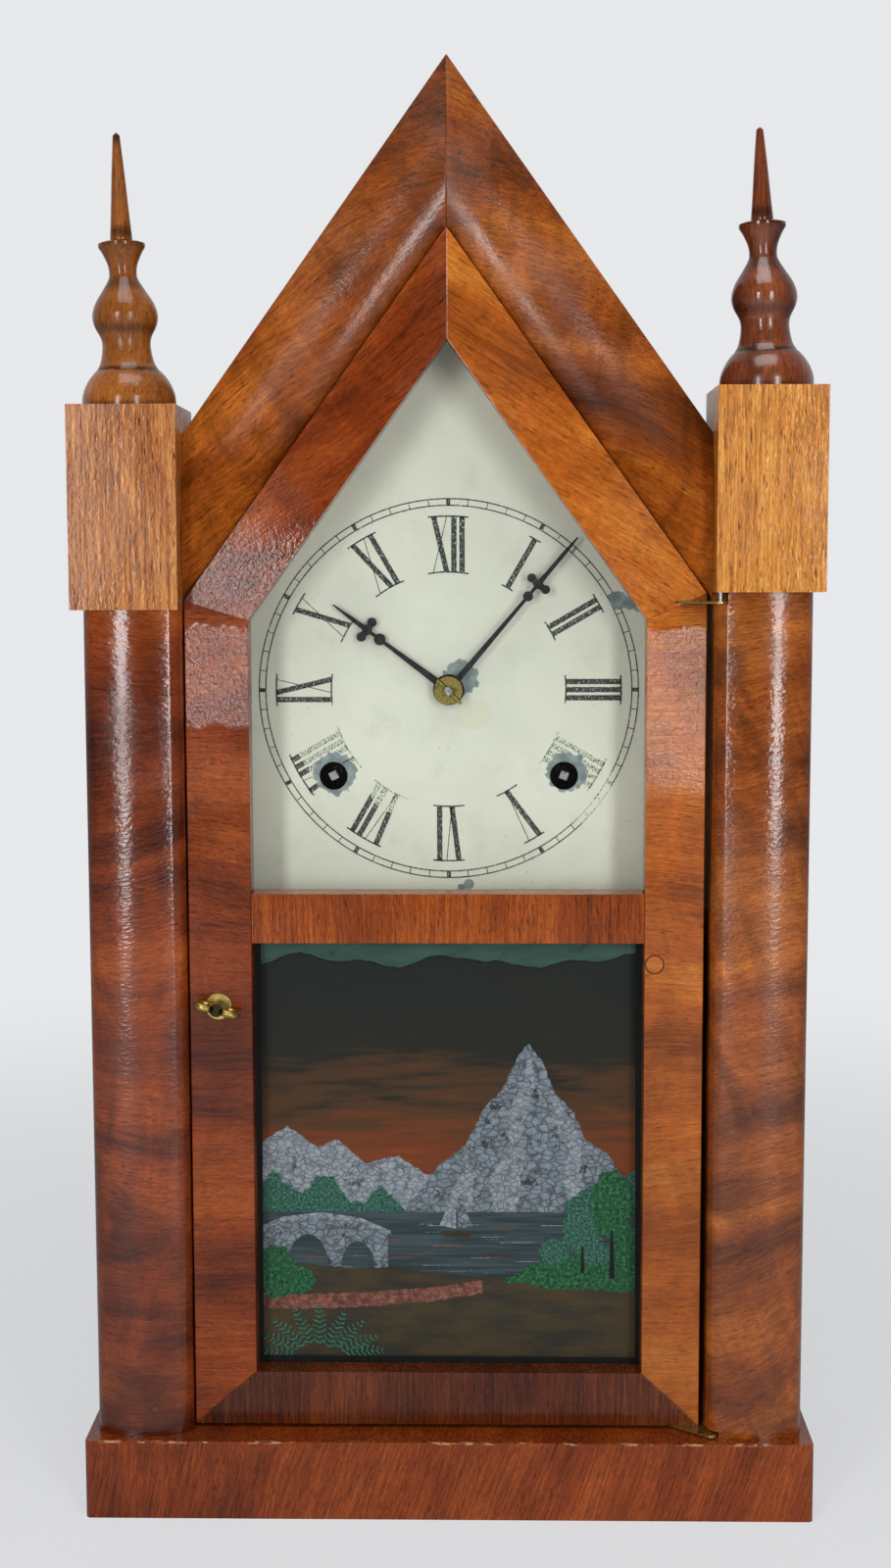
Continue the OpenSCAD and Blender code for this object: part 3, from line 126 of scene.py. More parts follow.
# Node trees
class Tree:
    """Builds a material's node tree from short calls that return sockets."""

    def __init__(self, name):
        self.material = bpy.data.materials.new(name)
        self.material.use_nodes = True
        self.nodes = self.material.node_tree.nodes
        self.links = self.material.node_tree.links
        self.shader = self.nodes["Principled BSDF"]
        self.place = self.new("ShaderNodeTexCoord").outputs["Object"]

    def new(self, kind, **settings):
        node = self.nodes.new(kind)
        for key, value in settings.items():
            setattr(node, key, value)
        return node

    def put(self, socket, value):
        """Links a socket, or sets a plain value."""
        if isinstance(value, bpy.types.NodeSocket):
            self.links.new(value, socket)
        elif hasattr(socket.default_value, "__len__") and len(socket.default_value) == 4:
            socket.default_value = (*value, 1)
        else:
            socket.default_value = value

    def map(self, vector, move=(0, 0, 0), turn=(0, 0, 0), scale=(1, 1, 1)):
        node = self.new("ShaderNodeMapping", vector_type="POINT")
        self.put(node.inputs["Vector"], vector)
        self.put(node.inputs["Location"], move)
        self.put(node.inputs["Rotation"], turn)
        self.put(node.inputs["Scale"], scale)
        return node.outputs["Vector"]

    def noise(self, vector, scale, detail=3, rough=0.5, twist=0):
        node = self.new("ShaderNodeTexNoise")
        self.put(node.inputs["Vector"], vector)
        settings = {"Scale": scale, "Detail": detail, "Roughness": rough, "Distortion": twist}
        for key, value in settings.items():
            self.put(node.inputs[key], value)
        return node.outputs["Fac"]

    def ramp(self, value, *stops, ease="EASE"):
        """stops are (place, grey or colour)."""
        node = self.new("ShaderNodeValToRGB")
        node.color_ramp.interpolation = ease
        points = node.color_ramp.elements
        while len(points) < len(stops):
            points.new(0.5)
        for point, (where, tone) in zip(points, stops):
            point.position = where
            point.color = (*tone, 1) if hasattr(tone, "__len__") else (tone, tone, tone, 1)
        self.put(node.inputs["Fac"], value)
        return node.outputs["Color"]

    def calc(self, operation, a, b=0, c=0):
        """One step of arithmetic on sockets or numbers."""
        node = self.new("ShaderNodeMath", operation=operation)
        for socket, value in zip(node.inputs, (a, b, c)):
            self.put(socket, value)
        return node.outputs[0]

    def mix(self, share, a, b, blend="MIX"):
        node = self.new("ShaderNodeMix", data_type="RGBA", blend_type=blend)
        self.put(node.inputs[0], share)
        self.put(node.inputs[6], a)
        self.put(node.inputs[7], b)
        return node.outputs[2]

    def span(self, value, low, high, to_low=0, to_high=1, smooth=False):
        """Maps low to high onto to_low to to_high, and holds the ends outside."""
        node = self.new("ShaderNodeMapRange", interpolation_type="SMOOTHSTEP" if smooth else "LINEAR")
        self.put(node.inputs["Value"], value)
        for key, number in (("From Min", low), ("From Max", high), ("To Min", to_low), ("To Max", to_high)):
            self.put(node.inputs[key], number)
        return node.outputs[0]

    def parts(self, vector):
        node = self.new("ShaderNodeSeparateXYZ")
        self.put(node.inputs[0], vector)
        return node.outputs

    def bend(self, vector, scale, reach):
        """Moves a vector about by a smooth noise."""
        node = self.new("ShaderNodeTexNoise")
        self.put(node.inputs["Vector"], vector)
        node.inputs["Scale"].default_value = scale
        node.inputs["Detail"].default_value = 1
        shift = self.new("ShaderNodeVectorMath", operation="MULTIPLY_ADD")
        self.put(shift.inputs[0], node.outputs["Color"])
        self.put(shift.inputs[1], (reach, reach, reach))
        self.put(shift.inputs[2], vector)
        return shift.outputs[0]

    def spot(self, x, z, radius, ragged=0.35, scale=260):
        """1 inside a ragged round patch on the front, 0 outside; millimetres."""
        at = self.parts(self.bend(self.place, scale, radius * MM * ragged))
        dx = self.calc("SUBTRACT", at[0], (x + radius * ragged * 0.5) * MM)
        dz = self.calc("SUBTRACT", at[2], (z + radius * ragged * 0.5) * MM)
        square = self.calc("ADD", self.calc("MULTIPLY", dx, dx), self.calc("MULTIPLY", dz, dz))
        far = self.calc("SQRT", square)
        return self.span(far, radius * MM * 1.03, radius * MM * 0.97)

    def band(self, low, high, fade, fade_top):
        """1 between two heights in millimetres, fading out below and above."""
        z = self.parts(self.bend(self.place, 150, 0.006))[2]
        rise = self.span(z, low * MM, (low + fade) * MM)
        drop = self.span(z, (high + fade_top) * MM, high * MM)
        return self.calc("MULTIPLY", rise, drop)

    def tilt(self, normal, share, slope):
        """Leans a normal sideways in the piece's own frame."""
        lean = self.new(
            "ShaderNodeVectorTransform", vector_type="VECTOR", convert_from="OBJECT", convert_to="WORLD",
        )
        lean.inputs[0].default_value = (slope, 0, 0)
        scaled = self.new("ShaderNodeVectorMath", operation="SCALE")
        self.put(scaled.inputs[0], lean.outputs[0])
        self.put(scaled.inputs["Scale"], share)
        total = self.new("ShaderNodeVectorMath", operation="ADD")
        self.put(total.inputs[0], normal)
        self.put(total.inputs[1], scaled.outputs[0])
        unit = self.new("ShaderNodeVectorMath", operation="NORMALIZE")
        self.put(unit.inputs[0], total.outputs[0])
        return unit.outputs[0]

    def creases(self, foot, *places):
        """Painted shade in the hollows of a turning: (height above the foot, half width, depth) each,
        millimetres.
        """
        z = self.parts(self.bend(self.place, 300, 0.0012))[2]
        whole = 0
        for place, half, depth in places:
            far = self.calc("ABSOLUTE", self.calc("SUBTRACT", z, (foot + place) * MM))
            crease_shade = self.span(far, 0, half * MM, depth, 0, smooth=True)
            whole = crease_shade if whole == 0 else self.calc("MAXIMUM", whole, crease_shade)
        return whole

    def bump(self, height, depth, strength=1, under=None):
        node = self.new("ShaderNodeBump")
        self.put(node.inputs["Height"], height)
        self.put(node.inputs["Distance"], depth * MM)
        self.put(node.inputs["Strength"], strength)
        if under is not None:
            self.put(node.inputs["Normal"], under)
        return node.outputs["Normal"]

    def finish(self, colour, roughness, normal=None, **values):
        self.put(self.shader.inputs["Base Color"], colour)
        self.put(self.shader.inputs["Roughness"], roughness)
        if normal is not None:
            self.put(self.shader.inputs["Normal"], normal)
        for key, value in values.items():
            self.put(self.shader.inputs[key.replace("_", " ")], value)
        return self.material


def srgb(red, green, blue):
    """A colour given as 0 to 255 on screen, in linear light."""
    parts = (red / 255, green / 255, blue / 255)
    return tuple(((c + 0.055) / 1.055) ** 2.4 if c > 0.04 else c / 12.92 for c in parts)


def shade(tone, share):
    """A darker tone of the same hue."""
    return tuple(c * share for c in tone)


# Wood
def figured(t, along, tones, streak, figure, smoke, pores):
    """Fibres, bands that glow across them, dark smoky figure and open pores."""
    dark, mid, light = tones
    fibre = t.noise(t.map(along, scale=(44, 420, 1100)), 1, detail=4, rough=0.6)
    broad = t.noise(t.map(along, scale=(9, 26, 40)), 1, detail=4, rough=0.52, twist=0.3)
    tone = t.calc("MULTIPLY_ADD", fibre, streak, t.calc("MULTIPLY", broad, 1 - streak))
    wood = t.ramp(tone, (0.31, dark), (0.5, mid), (0.69, light), ease="LINEAR")
    grit = t.noise(t.map(along, scale=(420, 1500, 2400)), 1, detail=2, rough=0.7)
    wood = t.mix(1, wood, t.ramp(grit, (0.34, 0.78), (0.5, 1.0), (0.66, 1.24)), "MULTIPLY")
    bands = t.noise(t.map(along, scale=(80, 6, 20)), 1, detail=3, rough=0.55, twist=0.8)
    glow = t.ramp(bands, (0.34, 0.7), (0.5, 1.0), (0.68, 1.3))
    wood = t.mix(figure, wood, t.mix(1, wood, glow, "MULTIPLY"))
    cloud = t.noise(t.map(along, scale=(11, 6, 30)), 1, detail=5, rough=0.62, twist=0.9)
    wood = t.mix(t.ramp(cloud, (0.48, 0.0), (0.7, smoke)), wood, shade(dark, 0.5))
    pore = t.noise(t.map(along, scale=(190, 900, 1900)), 1, detail=2, rough=0.6)
    return t.mix(t.ramp(pore, (0.3, pores), (0.43, 0.0)), wood, shade(dark, 0.35))


def plugged(t, wood, tones, marks):
    """Round plugs let in at (x, z, radius, raggedness): a dark joint round a slightly paler piece."""
    for x, z, radius, ragged in marks:
        inner = t.spot(x, z, radius * 0.82, ragged=ragged)
        joint = t.calc("SUBTRACT", t.spot(x, z, radius, ragged=ragged), inner)
        wood = t.mix(t.calc("MULTIPLY", inner, 0.1), wood, tones[2])
        wood = t.mix(t.calc("MULTIPLY", joint, 0.85), wood, shade(tones[0], 0.3))
    return wood


def chipped(t, wood, moved, top):
    """Pale chips along the clock's front edge, at the height top."""
    flakes = t.noise(t.map(moved, scale=(130, 400, 400)), 1, detail=4, rough=0.7)
    chips = t.ramp(flakes, (0.54, 0.0), (0.6, 0.85))
    place = t.parts(t.place)
    high = t.span(place[2], (top - 0.9) * MM, (top - 0.3) * MM)
    front = t.span(place[1], FRONT_Y + 1.2 * MM, FRONT_Y + 0.6 * MM)
    return t.mix(t.calc("MULTIPLY", chips, t.calc("MULTIPLY", high, front)), wood, srgb(196, 150, 104))


def veneer(name, grain, tones, seed, figure=0.5, smoke=0.4, pores=0.6, curl=0.03, streak=0.3,
           ripple=1, gloss=1, shine=0.32, pebble=None, creases=None, marks=(), worn_edge=None,
           rising=None, painted_foot_shade=None):
    """Shellacked veneer. Heights and places are in millimetres.

    grain is the angle of the fibres from level, in degrees, seen from the front.
    pebble is a band of crackled shellac that leans to the light: low, high, fade, upper fade and lean.
    rising is a low and a high place, and the shine at each.
    The darker foot is painted shade, for the light that falls off lower down: a low and a high place,
    between which it fades out.
    """
    dark, mid, _ = tones
    t = Tree(name)
    moved = t.map(t.place, move=(seed * 0.37, seed * 0.11, seed * 0.23))
    along = t.map(t.bend(moved, 9, curl), turn=(0, math.radians(grain), 0))
    wood = figured(t, along, tones, streak, figure, smoke, pores)
    # Painted shade towards the foot of the piece, where the light falls off
    if painted_foot_shade:
        low, high = painted_foot_shade
        wood = t.mix(t.calc("MULTIPLY", t.band(-2, low, 1, high - low), 0.35), wood, shade(mid, 0.5))
    # Painted shade darkens the hollows of the turnings
    if creases:
        wood = t.mix(t.creases(*creases), wood, shade(dark, 0.16))
    wood = plugged(t, wood, tones, marks)
    if worn_edge:
        wood = chipped(t, wood, moved, worn_edge)
    ripples = t.noise(t.map(along, scale=(430, 900, 900)), 1, detail=2, rough=0.5)
    normal = t.bump(ripples, 0.11, ripple)
    normal = t.bump(t.noise(moved, 90, detail=1), 0.3, 0.35, normal)
    if pebble:
        low, high, fade, fade_top, lean = pebble
        shown = t.band(low, high, fade, fade_top)
        normal = t.bump(t.calc("MULTIPLY", t.noise(moved, 620, detail=3, rough=0.6), shown), 0.62, 1, normal)
        normal = t.tilt(normal, shown, lean)
        shine = t.calc("MULTIPLY_ADD", shown, 0.68, shine)
    if rising:
        low, high, dull, bright = rising
        height = t.parts(t.bend(t.place, 60, 0.01))[2]
        shine = t.span(height, low * MM, high * MM, dull, bright)
    rubbed = t.ramp(t.noise(moved, 26, detail=3), (0.4, 0.13 / gloss), (0.62, 0.23 / gloss))
    return t.finish(wood, rubbed, normal, Specular_IOR_Level=shine)


def plain_wood(name, turn, dark, light, seed):
    """Unpolished secondary wood. turn brings X along the fibres."""
    t = Tree(name)
    moved = t.map(t.place, move=(seed * 0.41, seed * 0.19, seed * 0.07))
    along = t.map(t.bend(moved, 5, 0.012), turn=turn)
    rings = t.noise(t.map(along, scale=(4, 130, 130)), 1, detail=4, rough=0.6)
    hair = t.noise(t.map(along, scale=(60, 1500, 1500)), 1, detail=2)
    tone = t.calc("MULTIPLY_ADD", hair, 0.3, t.calc("MULTIPLY", rings, 0.7))
    wood = t.ramp(tone, (0.36, dark), (0.64, light))
    dust = t.noise(moved, 30, detail=5, rough=0.65)
    wood = t.mix(t.ramp(dust, (0.45, 0.0), (0.75, 0.5)), wood, shade(dark, 0.5))
    return t.finish(wood, t.ramp(rings, (0.3, 0.62), (0.7, 0.8)), t.bump(hair, 0.12, 0.5))


# Metals
def aged_brass(name, seed=1, dull=0.5, arbor=None, dark_spots=(), tone=1.0):
    """arbor is the (x, z) of a steel axle; near-black spots, each (x, z, radius), are painted shade on the
    front plate behind the winding holes, and the dark steel centre of the latch.
    """
    t = Tree(name)
    moved = t.map(t.place, move=(seed * 0.3, 0, seed * 0.2))
    spots = t.noise(moved, 420, detail=5, rough=0.65)
    clean = shade(srgb(196, 174, 100), tone)
    stain = shade(srgb(96, 76, 40), tone)
    metal = t.mix(t.ramp(spots, (0.42, 0.0), (0.7, dull)), clean, stain)
    # Near-black spots: painted shade behind the winding holes, and dark steel
    for x, z, radius in dark_spots:
        dark_patch = t.spot(x, z, radius, ragged=0.3, scale=120)
        metal = t.mix(t.calc("MULTIPLY", dark_patch, 0.94), metal, srgb(20, 16, 12))
    if arbor:
        metal = t.mix(t.spot(*arbor, 1.85, ragged=0.02), metal, srgb(172, 172, 174))
    lines = t.noise(moved, 1800, detail=2)
    rough = t.ramp(spots, (0.35, 0.24), (0.65, 0.46))
    return t.finish(metal, rough, t.bump(lines, 0.02, 0.5), Metallic=1.0)


def grey_steel(name, light, seed=1):
    t = Tree(name)
    moved = t.map(t.place, move=(seed * 0.2, 0, seed * 0.4))
    spots = t.noise(moved, 500, detail=5, rough=0.6)
    metal = t.mix(t.ramp(spots, (0.55, 0.0), (0.75, 0.2)), light, srgb(90, 66, 48))
    lines = t.noise(moved, 2500, detail=2)
    return t.finish(metal, t.ramp(spots, (0.3, 0.25), (0.7, 0.45)), t.bump(lines, 0.015, 0.5), Metallic=1.0)


def dark_steel(name):
    """Blued and darkened steel of the hands."""
    t = Tree(name)
    spots = t.noise(t.place, 700, detail=4, rough=0.6)
    tone = t.ramp(spots, (0.4, srgb(24, 24, 27)), (0.68, srgb(52, 50, 52)))
    lines = t.noise(t.place, 2400, detail=2)
    return t.finish(tone, t.ramp(spots, (0.3, 0.32), (0.7, 0.5)), t.bump(lines, 0.02, 0.4), Metallic=0.6)


def dark_iron(name):
    t = Tree(name)
    grit = t.noise(t.place, 900, detail=4, rough=0.6)
    tone = t.ramp(grit, (0.35, srgb(26, 25, 24)), (0.7, srgb(60, 54, 48)))
    return t.finish(tone, 0.55, t.bump(grit, 0.12, 0.6), Metallic=0.3)


# Dial
DIAL_Z = 291.7
HOLE_X = 41.5
HOLE_DROP = 31.0
CREAM = srgb(222, 222, 205)
# Worn spots as (x, z, radius): round the winding holes, at the centre, at the upper right and at the foot
BARE_PATCHES = (
    (-HOLE_X + 0.5, DIAL_Z - HOLE_DROP + 1.0, 7.6), (HOLE_X + 1.0, DIAL_Z - HOLE_DROP + 1.5, 7.2),
    (4.4, DIAL_Z + 4.2, 6.4), (60.5, DIAL_Z + 32, 3.2), (64.5, DIAL_Z + 31, 2.6), (68, DIAL_Z + 30, 2.2),
    (7.2, DIAL_Z - 70.5, 2.0), (4.4, DIAL_Z - 71.8, 1.4),
)


def bare_patches(t, paint):
    """Where the paint has gone and the grey zinc shows."""
    wear = 0
    for x, z, radius in BARE_PATCHES:
        patch = t.spot(x, z, radius, ragged=0.55, scale=420)
        wear = patch if wear == 0 else t.calc("MAXIMUM", wear, patch)
    zinc = t.ramp(t.noise(t.place, 300, detail=4), (0.35, srgb(112, 124, 128)), (0.65, srgb(146, 155, 154)))
    return wear, t.mix(wear, paint, zinc)


def dial_paint():
    """Old cream paint on zinc, worn bare round the holes."""
    t = Tree("dial_paint")
    haze = t.noise(t.place, 22, detail=3)
    paint = t.ramp(haze, (0.35, srgb(216, 213, 199)), (0.65, srgb(227, 223, 208)))
    specks = t.noise(t.place, 800, detail=1)
    paint = t.mix(t.ramp(specks, (0.74, 0.0), (0.8, 0.5)), paint, srgb(150, 142, 110))
    stain = t.spot(9, DIAL_Z - 9, 7, ragged=0.8, scale=120)
    paint = t.mix(t.calc("MULTIPLY", stain, 0.18), paint, srgb(206, 190, 130))
    grime = t.noise(t.place, 70, detail=4, rough=0.65)
    paint = t.mix(t.ramp(grime, (0.5, 0.0), (0.75, 0.22)), paint, srgb(176, 176, 150))
    wear, paint = bare_patches(t, paint)
    height = t.calc("MULTIPLY_ADD", wear, -0.5, t.noise(t.place, 350, detail=3))
    return t.finish(paint, t.ramp(haze, (0.3, 0.42), (0.7, 0.5)), t.bump(height, 0.05, 0.4))


def dial_ink():
    """Black numerals with the paint of the dial showing where they are worn."""
    t = Tree("dial_ink")
    scratches = t.noise(t.map(t.place, scale=(2600, 1, 900)), 1, detail=4, rough=0.7)
    worn = t.ramp(scratches, (0.56, 0.0), (0.6, 0.85), ease="LINEAR")
    for x, drop, radius in ((-37, 20, 17), (39, 22, 17), (-21, 36, 8), (45, 34, 14)):
        patch = t.spot(x, DIAL_Z - drop, radius, ragged=0.6, scale=60)
        scuffed = t.ramp(scratches, (0.44, 0.0), (0.5, 0.95), ease="LINEAR")
        worn = t.mix(patch, worn, scuffed)
    _, ink = bare_patches(t, t.mix(worn, srgb(20, 22, 20), CREAM))
    return t.finish(ink, 0.5)


# Glass
def clear_glass(name, straight, slanting):
    """Thin window glass. The two shares are what it mirrors seen straight on and at a slant."""
    t = Tree(name)
    t.nodes.remove(t.shader)
    out = t.nodes["Material Output"]
    clear = t.new("ShaderNodeBsdfTransparent")
    clear.inputs["Color"].default_value = (0.965, 0.985, 0.975, 1)
    gloss = t.new("ShaderNodeBsdfAnisotropic")
    gloss.inputs["Roughness"].default_value = 0.02
    t.put(gloss.inputs["Normal"], t.bump(t.noise(t.place, 18, detail=1), 0.35, 0.25))
    facing = t.new("ShaderNodeLayerWeight")
    facing.inputs["Blend"].default_value = 0.5
    mirror = t.ramp(facing.outputs["Facing"], (0.0, straight), (0.6, slanting), (1.0, 0.6))
    both = t.new("ShaderNodeMixShader")
    t.links.new(mirror, both.inputs[0])
    t.links.new(clear.outputs[0], both.inputs[1])
    t.links.new(gloss.outputs[0], both.inputs[2])
    t.links.new(both.outputs[0], out.inputs["Surface"])
    return t.material


def dress(material, *names):
    """Gives CAD nodes a material."""
    for name in names:
        data = NODES[name].data
        data.materials.clear()
        data.materials.append(material)


def soften(width, *names):
    """Rounds the sharp edges of CAD nodes, which are split where their faces meet."""
    for name in names:
        weld = NODES[name].modifiers.new("weld", "WELD")
        weld.merge_threshold = 1e-6
        bevel = NODES[name].modifiers.new("bevel", "BEVEL")
        bevel.width = width * MM
        bevel.segments = 2
        bevel.limit_method = "ANGLE"
        bevel.angle_limit = math.radians(40)
        NODES[name].modifiers.new("even_normals", "WEIGHTED_NORMAL").keep_sharp = True


def refine(width, body, slot, *names):
    """Replaces CAD nodes by copies with merged flat faces and rounded long edges."""
    for name in names:
        mesh = bmesh.new()
        mesh.from_mesh(NODES[name].data)
        bmesh.ops.remove_doubles(mesh, verts=mesh.verts, dist=1e-6)
        bmesh.ops.dissolve_limit(mesh, angle_limit=0.02, verts=mesh.verts, edges=mesh.edges)
        sharp = [e for e in mesh.edges if e.is_manifold and e.calc_face_angle() > 0.7]
        long = [e for e in sharp if e.calc_length() > 10 * MM]
        bmesh.ops.bevel(mesh, geom=long, offset=width * MM, segments=2, profile=0.5, affect="EDGES")
        data = bpy.data.meshes.new(name + "_fine")
        mesh.to_mesh(data)
        mesh.free()
        data.materials.append(NODES[name].data.materials[0])
        copy = bpy.data.objects.new(name + "_fine", data)
        bpy.context.scene.collection.objects.link(copy)
        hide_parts(name)
        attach(copy, body)


# Tones of wood, from dark to light
RED = (srgb(60, 18, 4), srgb(120, 50, 15), srgb(160, 80, 28))
BROWN = (srgb(66, 28, 7), srgb(130, 63, 17), srgb(176, 100, 34))
GOLD = (srgb(98, 42, 10), srgb(166, 86, 26), srgb(206, 132, 52))
ORANGE = (srgb(138, 78, 26), srgb(194, 124, 50), srgb(226, 166, 84))
RAIL = (srgb(88, 34, 4), srgb(136, 58, 9), srgb(168, 88, 24))
CAP = (srgb(104, 54, 24), srgb(164, 98, 48), srgb(206, 146, 82))
TURNED = (srgb(96, 50, 18), srgb(150, 88, 36), srgb(190, 124, 58))
TURNED_DARK = (srgb(58, 20, 8), srgb(112, 54, 28), srgb(152, 86, 50))
DARK = (srgb(40, 14, 5), srgb(82, 35, 13), srgb(118, 58, 24))
# Grain and slope in degrees, and the feet of the turnings in millimetres
LEVEL = 0
UPRIGHT = 90
GABLE_SLOPE = 54.2
LEFT_TURNING_FOOT = 390.4
RIGHT_TURNING_FOOT = 396.0
# Hollows of a finial: height above the foot of the turning, half width, and depth of the painted shade
CREASES = (
    (0, 3, 0.8), (13.4, 1.4, 0.9), (27, 3, 0.5), (42.5, 3.5, 0.6), (56, 2.5, 0.5), (60, 3, 0.7),
    (93, 6, 0.9),
)
BLOCK = dict(figure=0.15, smoke=0.1, pores=0.9, ripple=0.9, curl=0.006, streak=0.7)
MOULDING = dict(figure=0.8, smoke=0.6, gloss=0.55, rising=(375, 450, 0.01, 0.5))
STRAIGHT = dict(figure=0.2, streak=0.6, curl=0.01)
TURNING = dict(figure=0.2, ripple=0.25)
# Grain angle, tones, seed and the settings of each veneered piece
VENEERS = {
    "left_column": (LEVEL, RED, 1, dict(
        shine=0.5, figure=0.9, smoke=0.8, curl=0.05, marks=((-104, 38, 1.6, 0.5),))),
    "right_column": (18, BROWN, 2, dict(shine=0.5, figure=0.9, smoke=0.7, curl=0.06)),
    "left_cap_block": (UPRIGHT, CAP, 3, BLOCK),
    "right_cap_block": (UPRIGHT, ORANGE, 4, BLOCK),
    "left_gable_moulding": (GABLE_SLOPE - 16, BROWN, 5, dict(curl=0.05, **MOULDING)),
    "right_gable_moulding": (40 - GABLE_SLOPE, BROWN, 6, dict(curl=0.06, **MOULDING)),
    "door_left_gable_rail": (90 - GABLE_SLOPE, RED, 7, dict(
        figure=0.5, smoke=0.6, pebble=(318, 319, 1, 44, -0.1), marks=((-74.5, 342, 1.7, 0.3),))),
    "door_right_gable_rail": (GABLE_SLOPE - 90, GOLD, 8, dict(figure=0.5, smoke=0.3)),
    "door_left_stile": (LEVEL, RED, 9, dict(figure=0.4, smoke=0.3, pebble=(283, 317, 2, 2, -0.155))),
    "door_right_stile": (LEVEL, GOLD, 10, dict(
        figure=0.6, smoke=0.3, pebble=(256, 316, 24, 2, 0.16), marks=((72.3, 197, 3.5, 0.03),),
        painted_foot_shade=(110, 230))),
    "door_middle_rail": (UPRIGHT, RAIL, 11, dict(smoke=0.15, pores=0.8, **STRAIGHT)),
    "door_bottom_rail": (UPRIGHT, DARK, 12, dict(smoke=0.4, marks=((14, 42, 1.7, 0.3),), **STRAIGHT)),
    "base_front_rail": (UPRIGHT - 14, RED, 13, dict(figure=0.3, smoke=0.2, streak=0.45, worn_edge=28.3)),
    "left_finial": (UPRIGHT, TURNED, 14, dict(smoke=0.3, creases=(LEFT_TURNING_FOOT, *CREASES), **TURNING)),
    "right_finial": (UPRIGHT, TURNED_DARK, 15, dict(
        smoke=0.6, shine=0.5, creases=(RIGHT_TURNING_FOOT, *CREASES), **TURNING)),
}


def dress_case():
    """Veneer outside, stained sides and roof, and plain pine inside and behind."""
    for name, (grain, tones, seed, extra) in VENEERS.items():
        dress(veneer(name, grain, tones, seed, **extra), name)
    stained = (srgb(70, 32, 18), srgb(112, 58, 32))
    pine = (srgb(146, 98, 56), srgb(198, 150, 96))
    depth_grain = (0, 0, math.radians(90))
    up_grain = (0, math.radians(90), 0)
    dress(plain_wood("side_wood", up_grain, *stained, 1), "side_boards", "roof_boards")
    dress(plain_wood("base_side_wood", depth_grain, *stained, 2), "base_side_rails")
    dress(plain_wood("back_wood", up_grain, *pine, 3), "backboard", "dial_cleats", "movement_seat")
    dress(plain_wood("bottom_wood", (0, 0, 0), *pine, 4), "bottom_board", "glass_slips")
    refined = ("door_left_stile",)
    edge_width = 0.35
    boards = [name for name in VENEERS if not name.endswith("finial") and name not in refined]
    soften(edge_width, *boards)
    refine(edge_width, "door", "door_veneer", *refined)
    soften(0.5, "side_boards", "roof_boards", "base_side_rails", "backboard", "bottom_board")


WHEELS = {
    "centre_arbor": "centre_wheel",
    "second_arbor": "second_wheel",
    "third_arbor": "third_wheel",
    "escape_arbor": "escape_wheel",
    "minute_work": "minute_wheel",
    "pin_arbor": "pin_wheel",
    "warning_arbor": "warning_wheel",
    "fly_arbor": "fly",
    "time_great": "time_great_wheel",
    "strike_great": "strike_great_wheel",
}


def dress_metal():
    """Brass, steel and iron, the dial and the clear glasses. Each wheel's own axle shows as steel."""
    dress(aged_brass("door_brass", 1), "hinge_plates", "latch_escutcheon")
    dress(aged_brass("latch_brass", 4, 0.6, dark_spots=((-80.6, 182, 2.5),)), "door_latch")
    dress(aged_brass("hub_brass", 6, 0.7, tone=0.62), "hand_washer", "hand_pin")
    # The front plate is painted darker and nearly black round its arbors, as painted shade that makes the
    # winding holes look dark inside
    holes = [(x, DIAL_Z - HOLE_DROP, 11) for x in (-HOLE_X, HOLE_X)]
    dress(aged_brass("plate_brass", 2, 0.6, dark_spots=holes, tone=0.6), "front_plate")
    dress(aged_brass("back_plate_brass", 3, 0.5, tone=0.75), "back_plate")
    places = {joint["child"]: joint["pos_m"] for joint in frame["joints"]}
    for seed, (body, node) in enumerate(WHEELS.items()):
        x, _, z = places[body]
        dress(aged_brass(node + "_brass", seed, 0.4, arbor=(x / MM, z / MM)), node)
    dress(aged_brass("loose_brass", 5, 0.45), "hour_wheel", "pendulum_bob")
    steel = grey_steel("steel", srgb(150, 150, 152))
    dress(steel, "hinge_pins", "plate_pillars", "seat_screws", "time_winding_arbor", "strike_winding_arbor",
          "verge", "pendulum_rod", "rating_nut", "escape_cock", "hammer")
    dress(grey_steel("blue_steel", srgb(64, 66, 76), 3), "mainsprings", "gong_coil")
    dress(dark_iron("iron"), "gong_stand")
    dress(dark_steel("hand_steel"), "hour_hand", "minute_hand")
    dress(dial_paint(), "dial")
    dress(clear_glass("clear_glass", 0.012, 0.03), "upper_glass")
    dress(clear_glass("tablet_clear_glass", 0, 0), "tablet_glass")
    soften(0.12, "hour_hand", "minute_hand", "hinge_plates", "latch_escutcheon", "hand_washer")


# Flat drawing, for the numerals and the tablet picture
class Sheet:
    """Collects flat faces in the front plane and makes one mesh of them."""

    def __init__(self, name, y):
        self.name = name
        self.y = y
        self.points = []
        self.faces = []
        self.slots = []

    def face(self, outline, slot=0, lift=0.0):
        start = len(self.points)
        self.points += [(x * MM, (self.y - lift) * MM, z * MM) for x, z in outline]
        self.faces.append(tuple(range(start, start + len(outline))))
        self.slots.append(slot)

    def make(self, materials):
        data = bpy.data.meshes.new(self.name)
        data.from_pydata(self.points, [], self.faces)
        for polygon, slot in zip(data.polygons, self.slots):
            polygon.material_index = slot
        for material in materials:
            data.materials.append(material)
        obj = bpy.data.objects.new(self.name, data)
        bpy.context.scene.collection.objects.link(obj)
        return obj


# The dial's radii, lines, half marks and letter widths, in millimetres
RING_IN = 65.4
RING_OUT = 68.2
FIGURE_IN = 41.8
FIGURE_OUT = 62.1
SERIF = 0.55
SERIF_REACH = 0.9
LINE = 0.46
THICK = 1.95
THIN = 0.32
FIVE_MARK = 0.75
MINUTE_MARK = 0.17
HOLE_RADIUS = 5.2
LIFT = 0.05
WIDTHS = {"I": 2.9, "V": 6.6, "X": 6.9}
FIGURES = ["XII", "I", "II", "III", "IIII", "V", "VI", "VII", "VIII", "IX", "X", "XI"]


